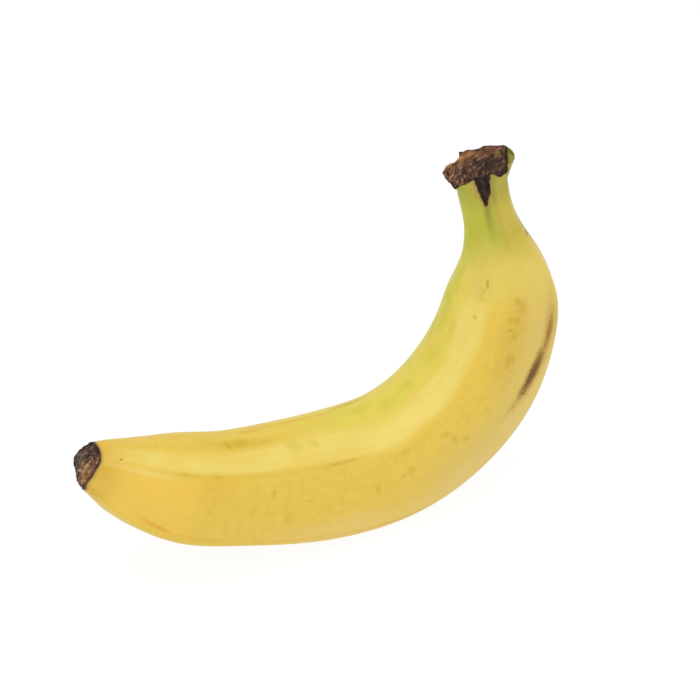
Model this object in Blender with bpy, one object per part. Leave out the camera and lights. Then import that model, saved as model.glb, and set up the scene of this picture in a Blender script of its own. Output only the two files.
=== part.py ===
"""One ripe banana, standing on the outside of its bend with both ends clear of the table.

The bend lies in the XZ plane. The blossom end points to -X, the stem rises at +X, and the small
flat spot that the fruit stands on lies round the origin at z = 0. Sizes are in millimetres.
"""

import bpy
import numpy as np

MM = 0.001

# Middle line from the edge of the blossom scar to the foot of the crown: x, z, radius at the ridges.
STATIONS = (
    (-77.4, 40.6, 7.3),
    (-73.0, 37.4, 9.7),
    (-64.8, 31.5, 13.4),
    (-55.6, 26.3, 16.0),
    (-42.5, 21.3, 17.0),
    (-25.4, 17.2, 18.5),
    (-7.4, 14.5, 19.6),
    (10.8, 15.1, 19.8),
    (27.9, 21.9, 19.7),
    (41.0, 35.4, 19.3),
    (46.9, 49.2, 18.2),
    (48.5, 62.0, 16.2),
    (46.7, 71.8, 12.0),
    (43.9, 81.1, 8.4),
    (41.0, 91.3, 7.6),
    (40.1, 95.5, 7.7),
)

# Five faces meet at ridges. Angles go round the fruit from the outside of the bend towards -Y.
RIDGE_ANGLES = (56.0, 137.0, 192.0, 244.0, 305.0)
RIDGE_SHARPNESS = 13.0
MIDDLE_ROUNDNESS = 0.45
END_ROUNDNESS = 0.70
SIDE_WIDTH = 0.96
RIDGE_TWIST = 4.0
TIP_SWAY = 2.5
SCAR_REACH = 10.0

# The crown is the torn wood that joined this fruit to its bunch.
CROWN_HEIGHT = 4.7
CROWN_OUTER = 9.0
CROWN_INNER = 11.3
CROWN_SIDE = 7.8
CROWN_BOXINESS = 2.4
CROWN_SKEW = 0.06
CROWN_SKEW_ANGLE = 320.0
CROWN_SLOPE = 0.12
CROWN_SIDE_SLOPE = 0.06
CROWN_DOME = 0.008
CROWN_RELIEF = 0.4

# The peel split below the crown, and the crease that runs on from the split.
SPLIT_ANGLE = 115.0
SPLIT_HALF_WIDTH = 21.0
SPLIT_TOP = 3.0
SPLIT_TIP = -4.0
SPLIT_DEPTH = 0.9
CREASE_LENGTH = 18.0
CREASE_DEPTH = 0.4

# The dried blossom scar.
SCAR_LENGTH = 3.0
SCAR_END_RADIUS = 3.6
SCAR_END_DROP = 0.8
SCAR_SLOPE = 1.1
SCAR_HOLLOW = 0.8
SCAR_TILT = 14.0
SCAR_YAW = -11.0
PEEL_LIP = 0.3

# The rings crowd towards both ends by this share, where the shape changes fastest.
SIDES = 56
BODY_RINGS = 66
RING_CROWDING = 0.05


def smooth_curve(at, values, query):
    """Natural cubic spline through the values, read at each query."""
    gap = np.diff(at)
    rows = np.eye(len(at))
    right = np.zeros(len(at))
    for i in range(1, len(at) - 1):
        rows[i, i - 1 : i + 2] = gap[i - 1], 2 * (gap[i - 1] + gap[i]), gap[i]
        right[i] = 6 * np.diff(np.diff(values[i - 1 : i + 2]) / gap[i - 1 : i + 1])[0]
    bend = np.linalg.solve(rows, right)
    i = np.clip(np.searchsorted(at, query, side="right") - 1, 0, len(gap) - 1)
    b = (query - at[i]) / gap[i]
    a = 1 - b
    curved = ((a**3 - a) * bend[i] + (b**3 - b) * bend[i + 1]) * gap[i] ** 2 / 6
    return a * values[i] + b * values[i + 1] + curved


def ease(x):
    """0 below 0, 1 above 1, and a smooth step between."""
    x = np.clip(x, 0.0, 1.0)
    return x * x * (3 - 2 * x)


def middle_line(shares):
    """Centre, outward direction, direction of travel and radius, at shares of the length."""
    stations = np.array(STATIONS)
    steps = np.linalg.norm(np.diff(stations[:, :2], axis=0), axis=1)
    at = np.concatenate([[0.0], np.cumsum(steps)])
    query = np.asarray(shares) * at[-1]
    x, z, radius = (smooth_curve(at, stations[:, k], query) for k in range(3))
    nearby = 0.01
    ahead = [smooth_curve(at, stations[:, k], query + nearby) for k in range(2)]
    behind = [smooth_curve(at, stations[:, k], query - nearby) for k in range(2)]
    travel = np.stack([ahead[0] - behind[0], ahead[1] - behind[1]], axis=-1)
    travel /= np.linalg.norm(travel, axis=-1, keepdims=True)
    sway = TIP_SWAY * (1 - np.asarray(shares)) ** 4
    zero = np.zeros_like(x)
    centre = np.stack([x, sway, z], axis=-1)
    along = np.stack([travel[:, 0], zero, travel[:, 1]], axis=-1)
    outward = np.stack([travel[:, 1], zero, -travel[:, 0]], axis=-1)
    return centre, outward, along, radius, query


def section(angles, roundness):
    """Radius of the five-faced section, one at its ridges."""
    ridges = np.radians(RIDGE_ANGLES)
    following = np.roll(ridges, -1)
    following[-1] += 2 * np.pi
    total = np.zeros_like(angles)
    for middle, half in zip((ridges + following) / 2, (following - ridges) / 2):
        total += (np.clip(np.cos(angles - middle), 0, None) / np.cos(half)) ** RIDGE_SHARPNESS
    faceted = (2 / total) ** (1 / RIDGE_SHARPNESS)
    return faceted * (1 - roundness) + roundness * 0.96


def split_depth(angles, height):
    """How far the split and its crease sink, at a height above the foot of the crown."""
    across = np.abs(np.degrees(angles) - SPLIT_ANGLE)
    half = SPLIT_HALF_WIDTH * np.clip((height - SPLIT_TIP) / (SPLIT_TOP - SPLIT_TIP), 0, 1)
    wedge = ease((half - across) / 6 + 0.5) * ease((height - SPLIT_TIP) / 1.5)
    crease = ease(1 + height / CREASE_LENGTH) * np.exp(-((across / 8) ** 2))
    return SPLIT_DEPTH * wedge + CREASE_DEPTH * crease


def ring_points(centre, outward, along, radius, angles, height=0.0):
    """Points round one ring, in millimetres."""
    out = (radius * np.cos(angles))[:, None] * outward
    side = (radius * np.sin(angles))[:, None] * np.array([0.0, -1.0, 0.0])
    return centre + out + side + (height * np.ones_like(angles))[:, None] * along


def slant(angles, radius):
    """Height of a point above a level ring, when the ring lies in the plane of the scar."""
    rise = np.cos(angles) * np.tan(np.radians(SCAR_TILT))
    return radius * (rise + np.sin(angles) * np.tan(np.radians(SCAR_YAW)))


def body_rings(angles):
    """Rings of the fruit from the blossom scar to the foot of the crown, and both end frames."""
    even = np.linspace(0, 1, BODY_RINGS)
    shares = even - RING_CROWDING * np.sin(2 * np.pi * even)
    centre, outward, along, radius, at = middle_line(shares)
    side = np.hypot(np.cos(angles), SIDE_WIDTH * np.sin(angles))
    rings = []
    for k, share in enumerate(shares):
        roundness = MIDDLE_ROUNDNESS + (END_ROUNDNESS - MIDDLE_ROUNDNESS) * (
            ease(1 - share / 0.2) + ease((share - 0.8) / 0.2)
        )
        twist = np.radians(RIDGE_TWIST) * (2 * share - 1)
        width = radius[k] * section(angles - twist, roundness) * side
        width = width - split_depth(angles, at[k] - at[-1])
        lean = ease(1 - at[k] / SCAR_REACH) * slant(angles, width)
        rings.append(ring_points(centre[k], outward[k], along[k], width, angles, lean))
    return rings, (centre[0], outward[0], along[0]), (centre[-1], outward[-1], along[-1])


def crown_rings(foot, frame, angles):
    """Flaring wall of the crown and its rough, sloping top, closing on a last small ring."""
    centre, outward, along = frame
    reach = np.where(np.cos(angles) > 0, CROWN_OUTER, CROWN_INNER)
    q = CROWN_BOXINESS
    rim = (np.abs(np.cos(angles) / reach) ** q + np.abs(np.sin(angles) / CROWN_SIDE) ** q) ** (-1 / q)
    rim *= 1 + 0.03 * np.sin(3 * angles + 0.5) + 0.02 * np.sin(8 * angles + 2.0)
    rim *= 1 + CROWN_SKEW * np.cos(angles - np.radians(CROWN_SKEW_ANGLE))
    neck = np.linalg.norm(foot - centre, axis=1) + split_depth(angles, 0.0)

    def top(radius):
        out, side = radius * np.cos(angles), radius * np.sin(angles)
        level = CROWN_HEIGHT + CROWN_SLOPE * out + CROWN_SIDE_SLOPE * side
        level -= CROWN_DOME * out**2
        rough = np.sin(1.1 * out + 0.5 * side + 0.4) * np.cos(0.9 * side - 0.3)
        return level + CROWN_RELIEF * (rough + 0.6 * np.sin(2.1 * side - 0.8 * out))

    rings = []
    for t in (0.14, 0.28, 0.42, 0.56, 0.7, 0.85, 1.0):
        flare = t**0.9
        height = t * top(rim)
        wall = neck * (1 - flare) + rim * flare - split_depth(angles, height)
        rings.append(ring_points(centre, outward, along, wall, angles, height))
    for share in (0.93, 0.8, 0.64, 0.48, 0.32, 0.16):
        rings.append(ring_points(centre, outward, along, share * rim, angles, top(share * rim)))
    return rings


def scar_rings(foot, frame, angles):
    """Blunt stub at the blossom end with a hollow, uneven end. Rings run away from the fruit."""
    centre, outward, along = frame
    start = np.hypot((foot - centre) @ outward, (foot - centre)[:, 1]) - PEEL_LIP
    uneven = 1 + 0.07 * np.sin(3 * angles + 1.0) + 0.05 * np.sin(5 * angles + 2.4)
    end = SCAR_END_RADIUS * uneven
    rings = []
    for t in (0.04, 0.2, 0.4, 0.6, 0.8, 0.93, 1.0):
        wall = start * (1 - t**2.2) + end * t**2.2
        middle = centre + outward * SCAR_END_DROP * t**2
        height = slant(angles, wall) - t * (SCAR_LENGTH - SCAR_SLOPE * np.cos(angles))
        rings.append(ring_points(middle, outward, along, wall, angles, height))
    for share in (0.86, 0.68, 0.48, 0.26):
        hollow = SCAR_HOLLOW * (1 - share**2) * (1 - 0.5 * ease(1 - share / 0.5))
        height = slant(angles, share * end) + hollow - SCAR_LENGTH
        height += SCAR_SLOPE * share * np.cos(angles)
        rings.append(ring_points(middle, outward, along, share * end, angles, height))
    return rings


def lofted(rings):
    """Closed mesh of quads over the rings, with a fan on each end ring."""
    sides = len(rings[0])
    points = np.concatenate(rings + [rings[0].mean(axis=0)[None], rings[-1].mean(axis=0)[None]])
    first, last = len(points) - 2, len(points) - 1
    faces = []
    for k in range(len(rings) - 1):
        for i in range(sides):
            a, b = k * sides + i, k * sides + (i + 1) % sides
            faces.append((a, a + sides, b + sides, b))
    top = (len(rings) - 1) * sides
    for i in range(sides):
        faces.append((first, i, (i + 1) % sides))
        faces.append((last, top + (i + 1) % sides, top + i))
    return points, faces


def banana_mesh():
    """Points in millimetres and faces of the whole fruit. What dips below z = 0 is pressed flat."""
    angles = np.linspace(0, 2 * np.pi, SIDES, endpoint=False)
    rings, scar_frame, crown_frame = body_rings(angles)
    crown = crown_rings(rings[-1], crown_frame, angles)
    scar = scar_rings(rings[0], scar_frame, angles)
    points, faces = lofted(scar[::-1] + rings + crown)
    points[:, 2] = np.maximum(points[:, 2], 0.0)
    return points, faces


def peel_material():
    """Plain yellow peel."""
    material = bpy.data.materials.new("banana_peel")
    material.use_nodes = True
    shader = material.node_tree.nodes["Principled BSDF"]
    shader.inputs["Base Color"].default_value = (0.78, 0.52, 0.05, 1.0)
    shader.inputs["Roughness"].default_value = 0.45
    return material


def main():
    for old in list(bpy.data.objects):
        bpy.data.objects.remove(old)
    points, faces = banana_mesh()
    mesh = bpy.data.meshes.new("banana")
    mesh.from_pydata((points * MM).tolist(), [], faces)
    mesh.polygons.foreach_set("use_smooth", [True] * len(mesh.polygons))
    mesh.materials.append(peel_material())
    banana = bpy.data.objects.new("banana", mesh)
    bpy.context.scene.collection.objects.link(banana)


if __name__ == "__main__":
    main()
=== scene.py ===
"""A ripe banana on a lit white table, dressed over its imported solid.

The fruit stands on the outside of its bend. Places on it are told by two numbers: how far along it
they lie from the blossom end, in millimetres, and how far around it, in degrees from the outside of
the bend towards -Y. Places on the torn crown are told by how far out from its middle, towards the
outside of the bend, and how far to its side, towards -Y. Shapes are worked out in millimetres and
turned to metres when a mesh is made.
"""

import logging
from dataclasses import dataclass
from enum import Enum
from typing import NamedTuple

import bpy
import numpy as np
from mathutils import Matrix, Vector, noise


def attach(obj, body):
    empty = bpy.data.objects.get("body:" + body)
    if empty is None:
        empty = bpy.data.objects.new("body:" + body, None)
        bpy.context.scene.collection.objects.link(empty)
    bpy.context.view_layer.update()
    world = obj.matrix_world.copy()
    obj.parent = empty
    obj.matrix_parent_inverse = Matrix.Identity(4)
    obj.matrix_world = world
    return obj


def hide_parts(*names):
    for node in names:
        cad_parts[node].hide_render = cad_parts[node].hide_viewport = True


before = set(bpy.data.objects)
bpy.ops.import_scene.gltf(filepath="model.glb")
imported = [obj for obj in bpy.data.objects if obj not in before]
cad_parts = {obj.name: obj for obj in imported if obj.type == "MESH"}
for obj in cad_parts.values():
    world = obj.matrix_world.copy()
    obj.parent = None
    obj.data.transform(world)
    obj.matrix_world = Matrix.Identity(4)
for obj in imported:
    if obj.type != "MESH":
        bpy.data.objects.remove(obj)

MM = 0.001
SIDE = np.array([0.0, -1.0, 0.0])
LOG = logging.getLogger("banana")

# Borders of a stretch of colour that doesn't end along the fruit or round it.
START, END = -np.inf, np.inf
ALL_ROUND = (-360.0, 360.0, 1.0)


def linear(code: str) -> tuple[float, float, float, float]:
    """Turn an sRGB hex colour to linear values.

    Args:
        code: Colour such as "#e6c24b".

    Returns:
        Linear red, green and blue, and an alpha of one.
    """
    parts = [int(code[i : i + 2], 16) / 255 for i in (1, 3, 5)]
    r, g, b = (c / 12.92 if c <= 0.04045 else ((c + 0.055) / 1.055) ** 2.4 for c in parts)
    return r, g, b, 1.0


def add(
    tree: bpy.types.NodeTree, kind: str, settings: dict | None = None, links: dict | None = None
) -> bpy.types.Node:
    """Add one shader node.

    Args:
        tree: Node tree of the material.
        kind: Type of the node, without the words ShaderNode in front.
        settings: Values by name. A lower-case name is a property of the node, others are its inputs.
        links: For each input, by name or number, the node or output that feeds it.

    Returns:
        The new node.
    """
    node = tree.nodes.new("ShaderNode" + kind)
    for key, value in (settings or {}).items():
        if isinstance(key, str) and key.islower():
            setattr(node, key, value)
        else:
            node.inputs[key].default_value = value
    for key, source in (links or {}).items():
        output = source.outputs[0] if isinstance(source, bpy.types.Node) else source
        tree.links.new(output, node.inputs[key])
    return node


def ease(x: np.ndarray) -> np.ndarray:
    """Return 0 below 0, 1 above 1, and a smooth step between."""
    x = np.clip(x, 0.0, 1.0)
    return x * x * (3 - 2 * x)


def band(x: np.ndarray, low: float, high: float, soft: float) -> np.ndarray:
    """Return 1 between low and high, falling to 0 over a soft width at each."""
    return ease((x - low) / soft + 0.5) * ease((high - x) / soft + 0.5)


def turned(around: np.ndarray, centre: float | np.ndarray) -> np.ndarray:
    """Return the angle from a centre, between -180 and 180 degrees."""
    return (around - centre + 180.0) % 360.0 - 180.0


def arc(around: np.ndarray, low: float, high: float, soft: float) -> np.ndarray:
    """Return 1 between two angles round the fruit, falling to 0 over a soft width at each."""
    return ease(((high - low) / 2 - np.abs(turned(around, (low + high) / 2))) / soft + 0.5)


def hump(around: np.ndarray, centre: float | np.ndarray, spread: float) -> np.ndarray:
    """Return 1 at an angle round the fruit, and less beside it."""
    return np.exp(-((turned(around, centre) / spread) ** 2))


def out_and_side(around: np.ndarray, radius: float | np.ndarray) -> tuple[np.ndarray, np.ndarray]:
    """Return how far outward and how far to the side points lie."""
    a = np.radians(around)
    return radius * np.cos(a), radius * np.sin(a)


def straight_edge(around: np.ndarray, facing: float, distance: float) -> np.ndarray:
    """Return the radius, at each angle, of a straight edge that lies at a distance and faces an angle."""
    least_share = 0.2
    return distance / np.maximum(np.cos(np.radians(around - facing)), least_share)


def blot(
    out: np.ndarray, side: np.ndarray, at: tuple[float, float], size: tuple[float, float]
) -> np.ndarray:
    """Return 1 at the middle of a soft round patch, and less over its reach outward and sideward."""
    return np.exp(-(((out - at[0]) / size[0]) ** 2) - ((side - at[1]) / size[1]) ** 2)


def noise_field(points: np.ndarray, size: float | tuple, seed: float = 0.0) -> np.ndarray:
    """Read smooth noise at many points.

    Args:
        points: Places in millimetres, with three numbers in the last axis.
        size: Size of one lump in millimetres, the same all ways or one for each axis.
        seed: Moves the pattern, so that two uses differ.

    Returns:
        Values from about -1 to 1.
    """
    far_off = 17.31
    scaled = points.reshape(-1, 3) / np.asarray(size, float) + seed * far_off
    values = np.array([noise.noise(Vector(p)) for p in scaled.tolist()])
    return values.reshape(points.shape[:-1])


def smooth_curve(at: np.ndarray, values: np.ndarray, query: np.ndarray) -> np.ndarray:
    """Read a natural cubic spline.

    Args:
        at: Place of each value along the curve.
        values: Values that the curve runs through.
        query: Places to read.

    Returns:
        The curve at each query.
    """
    gap = np.diff(at)
    rows = np.eye(len(at))
    right = np.zeros(len(at))
    for i in range(1, len(at) - 1):
        rows[i, i - 1 : i + 2] = gap[i - 1], 2 * (gap[i - 1] + gap[i]), gap[i]
        right[i] = 6 * np.diff(np.diff(values[i - 1 : i + 2]) / gap[i - 1 : i + 1])[0]
    bend = np.linalg.solve(rows, right)
    i = np.clip(np.searchsorted(at, query, side="right") - 1, 0, len(gap) - 1)
    b = (query - at[i]) / gap[i]
    a = 1 - b
    curved = ((a**3 - a) * bend[i] + (b**3 - b) * bend[i + 1]) * gap[i] ** 2 / 6
    return a * values[i] + b * values[i + 1] + curved


@dataclass(frozen=True)
class EndFrame:
    """Centre and directions at one place of the fruit, and its radius at the ridges."""

    centre: np.ndarray
    outward: np.ndarray
    along: np.ndarray
    radius: float

    def place(self, around: np.ndarray, wide: np.ndarray, height: np.ndarray) -> np.ndarray:
        """Place points round the centre.

        Args:
            around: Angles round the fruit.
            wide: How far each point lies from the middle line.
            height: How far along the fruit it lies from the centre.

        Returns:
            The points, in millimetres.
        """
        out, side = out_and_side(around, wide)
        points = self.centre + out[..., None] * self.outward + side[..., None] * SIDE
        return points + height[..., None] * self.along


@dataclass(frozen=True)
class FruitShape:
    """Outer form of the fruit, from the same named sizes as its solid.

    The split below the crown, the crown's broken edge and the skin's draw-in at the blossom scar are
    finer here than in the solid. Lengths are in millimetres and angles in degrees.
    """

    # Middle line from the blossom scar to the foot of the crown: x, z, radius at the ridges.
    stations: tuple = (
        (-77.4, 40.6, 7.3),
        (-73.0, 37.4, 9.7),
        (-64.8, 31.5, 13.4),
        (-55.6, 26.3, 16.0),
        (-42.5, 21.3, 17.0),
        (-25.4, 17.2, 18.5),
        (-7.4, 14.5, 19.6),
        (10.8, 15.1, 19.8),
        (27.9, 21.9, 19.7),
        (41.0, 35.4, 19.3),
        (46.9, 49.2, 18.2),
        (48.5, 62.0, 16.2),
        (46.7, 71.8, 12.0),
        (43.9, 81.1, 8.4),
        (41.0, 91.3, 7.6),
        (40.1, 95.5, 7.7),
    )
    ridge_angles: tuple = (56.0, 137.0, 192.0, 244.0, 305.0)
    ridge_sharpness: float = 13.0
    middle_roundness: float = 0.45
    end_roundness: float = 0.70
    round_width: float = 0.96
    side_width: float = 0.96
    mean_width: float = 0.95
    end_share: float = 0.2
    ridge_twist: float = 4.0
    tip_sway: float = 2.5
    scar_reach: float = 10.0
    scar_tilt: float = 14.0
    scar_yaw: float = -11.0
    crown_height: float = 4.7
    crown_outer: float = 9.0
    crown_inner: float = 11.3
    crown_side: float = 7.8
    crown_flare: float = 0.9
    crown_boxiness: float = 2.4
    crown_skew: float = 0.06
    crown_skew_angle: float = 320.0
    crown_slope: float = 0.12
    crown_side_slope: float = 0.06
    crown_dome: float = 0.008
    crown_relief: float = 0.4
    crown_flat: float = 8.0
    crown_flat_facing: tuple = (0.77, -0.64)
    crown_flat_soft: float = 3.0
    # Ripples of the rim: share of its radius, how many go round, start.
    crown_ripples: tuple = ((0.03, 3, 0.5), (0.02, 8, 2.0))
    # Waves of its top, the first two multiplied together: radians a millimetre outward and sideward, start.
    crown_waves: tuple = ((1.1, 0.5, 0.4), (0.0, 0.9, -0.3), (-0.8, 2.1, 0.0))
    crown_narrow_share: float = 0.6
    # Straight broken sides: angle that each faces, distance from the middle.
    crown_breaks: tuple = ((188.5, 9.35), (116.0, 6.7), (318.0, 8.45))
    # Corners and notches: angle, spread, how far each stands out.
    crown_corners: tuple = (
        (210.0, 9.0, 1.1),
        (254.0, 9.0, -0.8),
        (269.0, 6.0, 0.4),
        (299.0, 10.0, -1.5),
    )
    split_angle: float = 117.5
    split_lean: float = 2.5
    split_foot_half: float = 14.0
    split_taper: float = 0.85
    split_spread: float = 1.3
    split_tip: float = -5.0
    # Bulge of the split's right border: height, reach, degrees.
    split_bulge: tuple = (-1.1, 1.2, 3.0)
    split_middle_soft: float = 4.0
    # Waves of its borders: degrees, waves by height, waves by angle.
    split_wander: tuple = (0.7, 2.6, 0.05)
    crease_angle: float = 115.5
    crease_lean: float = 0.6
    crease_length: float = 15.0
    crease_depth: float = 0.45
    crease_spread: float = 8.0
    # Draw-in at the blossom scar: angle, spread, reach along the fruit, depth.
    tucks: tuple = ((10.0, 50.0, 4.0, 0.45), (190.0, 60.0, 13.0, 0.4))

    def chords(self) -> np.ndarray:
        """Return how far along the fruit each station lies."""
        steps = np.linalg.norm(np.diff(np.array(self.stations)[:, :2], axis=0), axis=1)
        return np.concatenate([[0.0], np.cumsum(steps)])

    def length(self) -> float:
        """Return the length from the blossom scar to the foot of the crown."""
        return float(self.chords()[-1])

    def middle_line(self, along: np.ndarray) -> tuple[np.ndarray, ...]:
        """Follow the middle line of the fruit.

        Args:
            along: Places along the fruit.

        Returns:
            Centre, outward direction, direction of travel and radius at each place.
        """
        stations, at = np.array(self.stations), self.chords()
        x, z, radius = (smooth_curve(at, stations[:, k], along) for k in range(3))
        nearby = 0.01
        ahead = [smooth_curve(at, stations[:, k], along + nearby) for k in range(2)]
        behind = [smooth_curve(at, stations[:, k], along - nearby) for k in range(2)]
        tx, tz = ahead[0] - behind[0], ahead[1] - behind[1]
        long = np.hypot(tx, tz)
        tx, tz, zero = tx / long, tz / long, np.zeros_like(x)
        sway = self.tip_sway * (1 - along / at[-1]) ** 4
        return (
            np.stack([x, sway, z], axis=-1),
            np.stack([tz, zero, -tx], axis=-1),
            np.stack([tx, zero, tz], axis=-1),
            radius,
        )

    def frame_at(self, along: float) -> EndFrame:
        """Return the centre, directions and radius at one place along the fruit."""
        return EndFrame(*(value[0] for value in self.middle_line(np.array([along]))))

    def widest(self) -> float:
        """Return the largest radius of the fruit."""
        return max(station[2] for station in self.stations)

    def twist(self, along: np.ndarray) -> np.ndarray:
        """Return how far the ridges turn round the fruit, in degrees."""
        return self.ridge_twist * (2 * along / self.length() - 1)

    def section(self, around: np.ndarray, along: np.ndarray) -> np.ndarray:
        """Read the five-faced section, one at its ridges.

        Args:
            around: Angles round the fruit.
            along: Places along it.

        Returns:
            Radius as a share of the radius at the ridges.
        """
        share = along / self.length()
        near_end = ease(1 - share / self.end_share) + ease((share - 1) / self.end_share + 1)
        roundness = self.middle_roundness + (self.end_roundness - self.middle_roundness) * near_end
        angles = np.radians(around - self.twist(along))
        ridges = np.radians(self.ridge_angles)
        following = np.roll(ridges, -1)
        following[-1] += 2 * np.pi
        total = np.zeros(np.broadcast(around, along).shape)
        for middle, half in zip((ridges + following) / 2, (following - ridges) / 2):
            total += (np.clip(np.cos(angles - middle), 0, None) / np.cos(half)) ** self.ridge_sharpness
        faceted = (2 / total) ** (1 / self.ridge_sharpness)
        side = np.hypot(np.cos(np.radians(around)), self.side_width * np.sin(np.radians(around)))
        return (faceted * (1 - roundness) + roundness * self.round_width) * side

    def slant(self, around: np.ndarray, radius: np.ndarray) -> np.ndarray:
        """Lean the plane of the blossom scar.

        Args:
            around: Angles round the fruit.
            radius: How far from the middle line each point lies.

        Returns:
            How far along the fruit each point moves.
        """
        a = np.radians(around)
        tilt, yaw = np.tan(np.radians(self.scar_tilt)), np.tan(np.radians(self.scar_yaw))
        return radius * (np.cos(a) * tilt + np.sin(a) * yaw)

    def tuck(self, around: np.ndarray, along: np.ndarray) -> np.ndarray:
        """Draw the skin in towards the blossom scar.

        Args:
            around: Angles round the fruit.
            along: Places along it.

        Returns:
            How much smaller the radius is at each point.
        """
        total = np.zeros(np.broadcast(around, along).shape)
        for middle, spread, reach, depth in self.tucks:
            total += depth * hump(around, middle, spread) * ease(1 - along / reach)
        return total

    def split_edge(self, around: np.ndarray, height: np.ndarray) -> np.ndarray:
        """Measure how far inside the border of the split below the crown points lie.

        Args:
            around: Angles round the fruit.
            height: Heights above the foot of the crown, negative on the neck.

        Returns:
            The distance in degrees round the fruit, negative outside the split.
        """
        down = np.clip(height / self.split_tip, 0, 1)
        across = turned(around, self.split_angle + self.split_lean * down)
        level, reach, most = self.split_bulge
        on_right = ease(0.5 - across / self.split_middle_soft)
        bulge = most * np.exp(-(((height - level) / reach) ** 2)) * on_right
        size, by_height, by_angle = self.split_wander
        wander = size * np.sin(by_height * height + by_angle * around)
        half = self.split_foot_half * (1 - down) ** self.split_taper
        half = half + self.split_spread * np.clip(height, 0, None)
        return half + bulge + wander - np.abs(across)

    def near_crease(self, around: np.ndarray, height: np.ndarray, width: float) -> np.ndarray:
        """Return 1 on the line of the crease below the split, and less beside it."""
        return hump(around, self.crease_angle - self.crease_lean * height, width)

    def crease(self, around: np.ndarray, height: np.ndarray) -> np.ndarray:
        """Return the depth of the crease that runs on from the split."""
        fading = ease(1 + height / self.crease_length)
        return self.crease_depth * fading * self.near_crease(around, height, self.crease_spread)

    def rim(self, around: np.ndarray) -> np.ndarray:
        """Shape the rim of the crown, with its ripples, corners and straight broken sides.

        Args:
            around: Angles round the fruit.

        Returns:
            The rim's radius.
        """
        a = np.radians(around)
        reach = np.where(np.cos(a) > 0, self.crown_outer, self.crown_inner)
        q = self.crown_boxiness
        rim = (np.abs(np.cos(a) / reach) ** q + np.abs(np.sin(a) / self.crown_side) ** q) ** (-1 / q)
        rim *= 1 + sum(size * np.sin(count * a + start) for size, count, start in self.crown_ripples)
        rim *= 1 + self.crown_skew * np.cos(a - np.radians(self.crown_skew_angle))
        for corner, spread, height in self.crown_corners:
            rim += height * hump(around, corner, spread)
        for facing, distance in self.crown_breaks:
            rim = np.minimum(rim, straight_edge(around, facing, distance))
        return rim

    def top(self, around: np.ndarray, radius: np.ndarray) -> np.ndarray:
        """Shape the crown's uneven top, which is even on the far side.

        Args:
            around: Angles round the fruit.
            radius: How far from the crown's middle each point lies.

        Returns:
            Heights above the foot of the crown.
        """
        out, side = out_and_side(around, radius)
        level = self.crown_height + self.crown_slope * out + self.crown_side_slope * side
        level -= self.crown_dome * out**2
        broad, across, narrow = (a * out + b * side + start for a, b, start in self.crown_waves)
        waves = np.sin(broad) * np.cos(across) + self.crown_narrow_share * np.sin(narrow)
        facing_out, facing_side = self.crown_flat_facing
        before = self.crown_flat - out * facing_out - side * facing_side
        return level + self.crown_relief * waves * ease(before / self.crown_flat_soft)

    def wall(self, around: np.ndarray, share: np.ndarray) -> tuple[np.ndarray, np.ndarray]:
        """Follow the flaring wall of the crown.

        Args:
            around: Angles round the fruit.
            share: Share of the way up, 0 at the foot and 1 at the rim. Below 0 runs down the neck.

        Returns:
            Radius, without the split, and height above the foot.
        """
        rim = self.rim(around)
        height = share * self.top(around, rim)
        along = self.length() + np.minimum(height, 0)
        radius = self.middle_line(along)[3] * self.section(around, along)
        flare = np.clip(share, 0, None) ** self.crown_flare
        return radius * (1 - flare) + rim * flare, height


@dataclass
class RingMesh:
    """A closed skin lofted over rings of points, with named values at each point."""

    name: str
    points: np.ndarray
    values: dict[str, np.ndarray]

    def faces(self) -> list[tuple[int, ...]]:
        """List the faces.

        Returns:
            The corners of the quads between rings, and of a fan on each end ring.
        """
        rings, sides = self.points.shape[:2]
        found = []
        for k in range(rings - 1):
            row = k * sides
            found += [
                (row + i, row + i + sides, row + (i + 1) % sides + sides, row + (i + 1) % sides)
                for i in range(sides)
            ]
        first, last, top = rings * sides, rings * sides + 1, (rings - 1) * sides
        found += [(first, i, (i + 1) % sides) for i in range(sides)]
        found += [(last, top + (i + 1) % sides, top + i) for i in range(sides)]
        return found

    def with_ends(self, grid: np.ndarray) -> np.ndarray:
        """Return values in mesh order, with the mean of each end ring after them."""
        flat = grid.reshape(-1, *grid.shape[2:])
        return np.concatenate([flat, grid[0].mean(axis=0)[None], grid[-1].mean(axis=0)[None]])

    def build(self) -> bpy.types.Object:
        """Make the object.

        Returns:
            A smooth-shaded mesh object that holds the values as attributes.
        """
        mesh = bpy.data.meshes.new(self.name)
        mesh.from_pydata((self.with_ends(self.points) * MM).tolist(), [], self.faces())
        mesh.shade_smooth()
        for name, grid in self.values.items():
            flat = self.with_ends(grid)
            kind, slot = ("FLOAT_VECTOR", "vector") if flat.ndim == 2 else ("FLOAT", "value")
            mesh.attributes.new(name, kind, "POINT").data.foreach_set(slot, flat.astype(np.float32).ravel())
        obj = bpy.data.objects.new(self.name, mesh)
        bpy.context.scene.collection.objects.link(obj)
        return obj


class Tint(Enum):
    """What a blemish or a painted highlight on the peel looks like: colour, how far its edge fades, and how
    ragged it is.

    They are painted in this order.
    """

    GOLD = ("#d6b030", 1.5, 0.6)
    # Painted highlight: a pale streak that stands for light along a ridge.
    PALE = ("#efd98a", 1.6, 0.6)
    GREEN = ("#c0b83a", 1.6, 1.2)
    OLIVE = ("#c2a41e", 1.4, 1.2)
    SMUDGE = ("#c2a124", 1.2, 1.7)
    RUBBED = ("#b08428", 1.5, 0.6)
    ORANGE = ("#dc9f1c", 1.4, 0.9)
    LINE = ("#b8922a", 1.2, 1.2)
    BROWN = ("#936318", 1.3, 0.8)
    BRUISE = ("#68460e", 1.3, 0.6)
    SPECK = ("#6e5012", 0.6, 0.4)

    def stored(self) -> str:
        """Return the name of the value that the mesh stores for this kind."""
        return "mark_" + self.name.lower()


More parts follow.
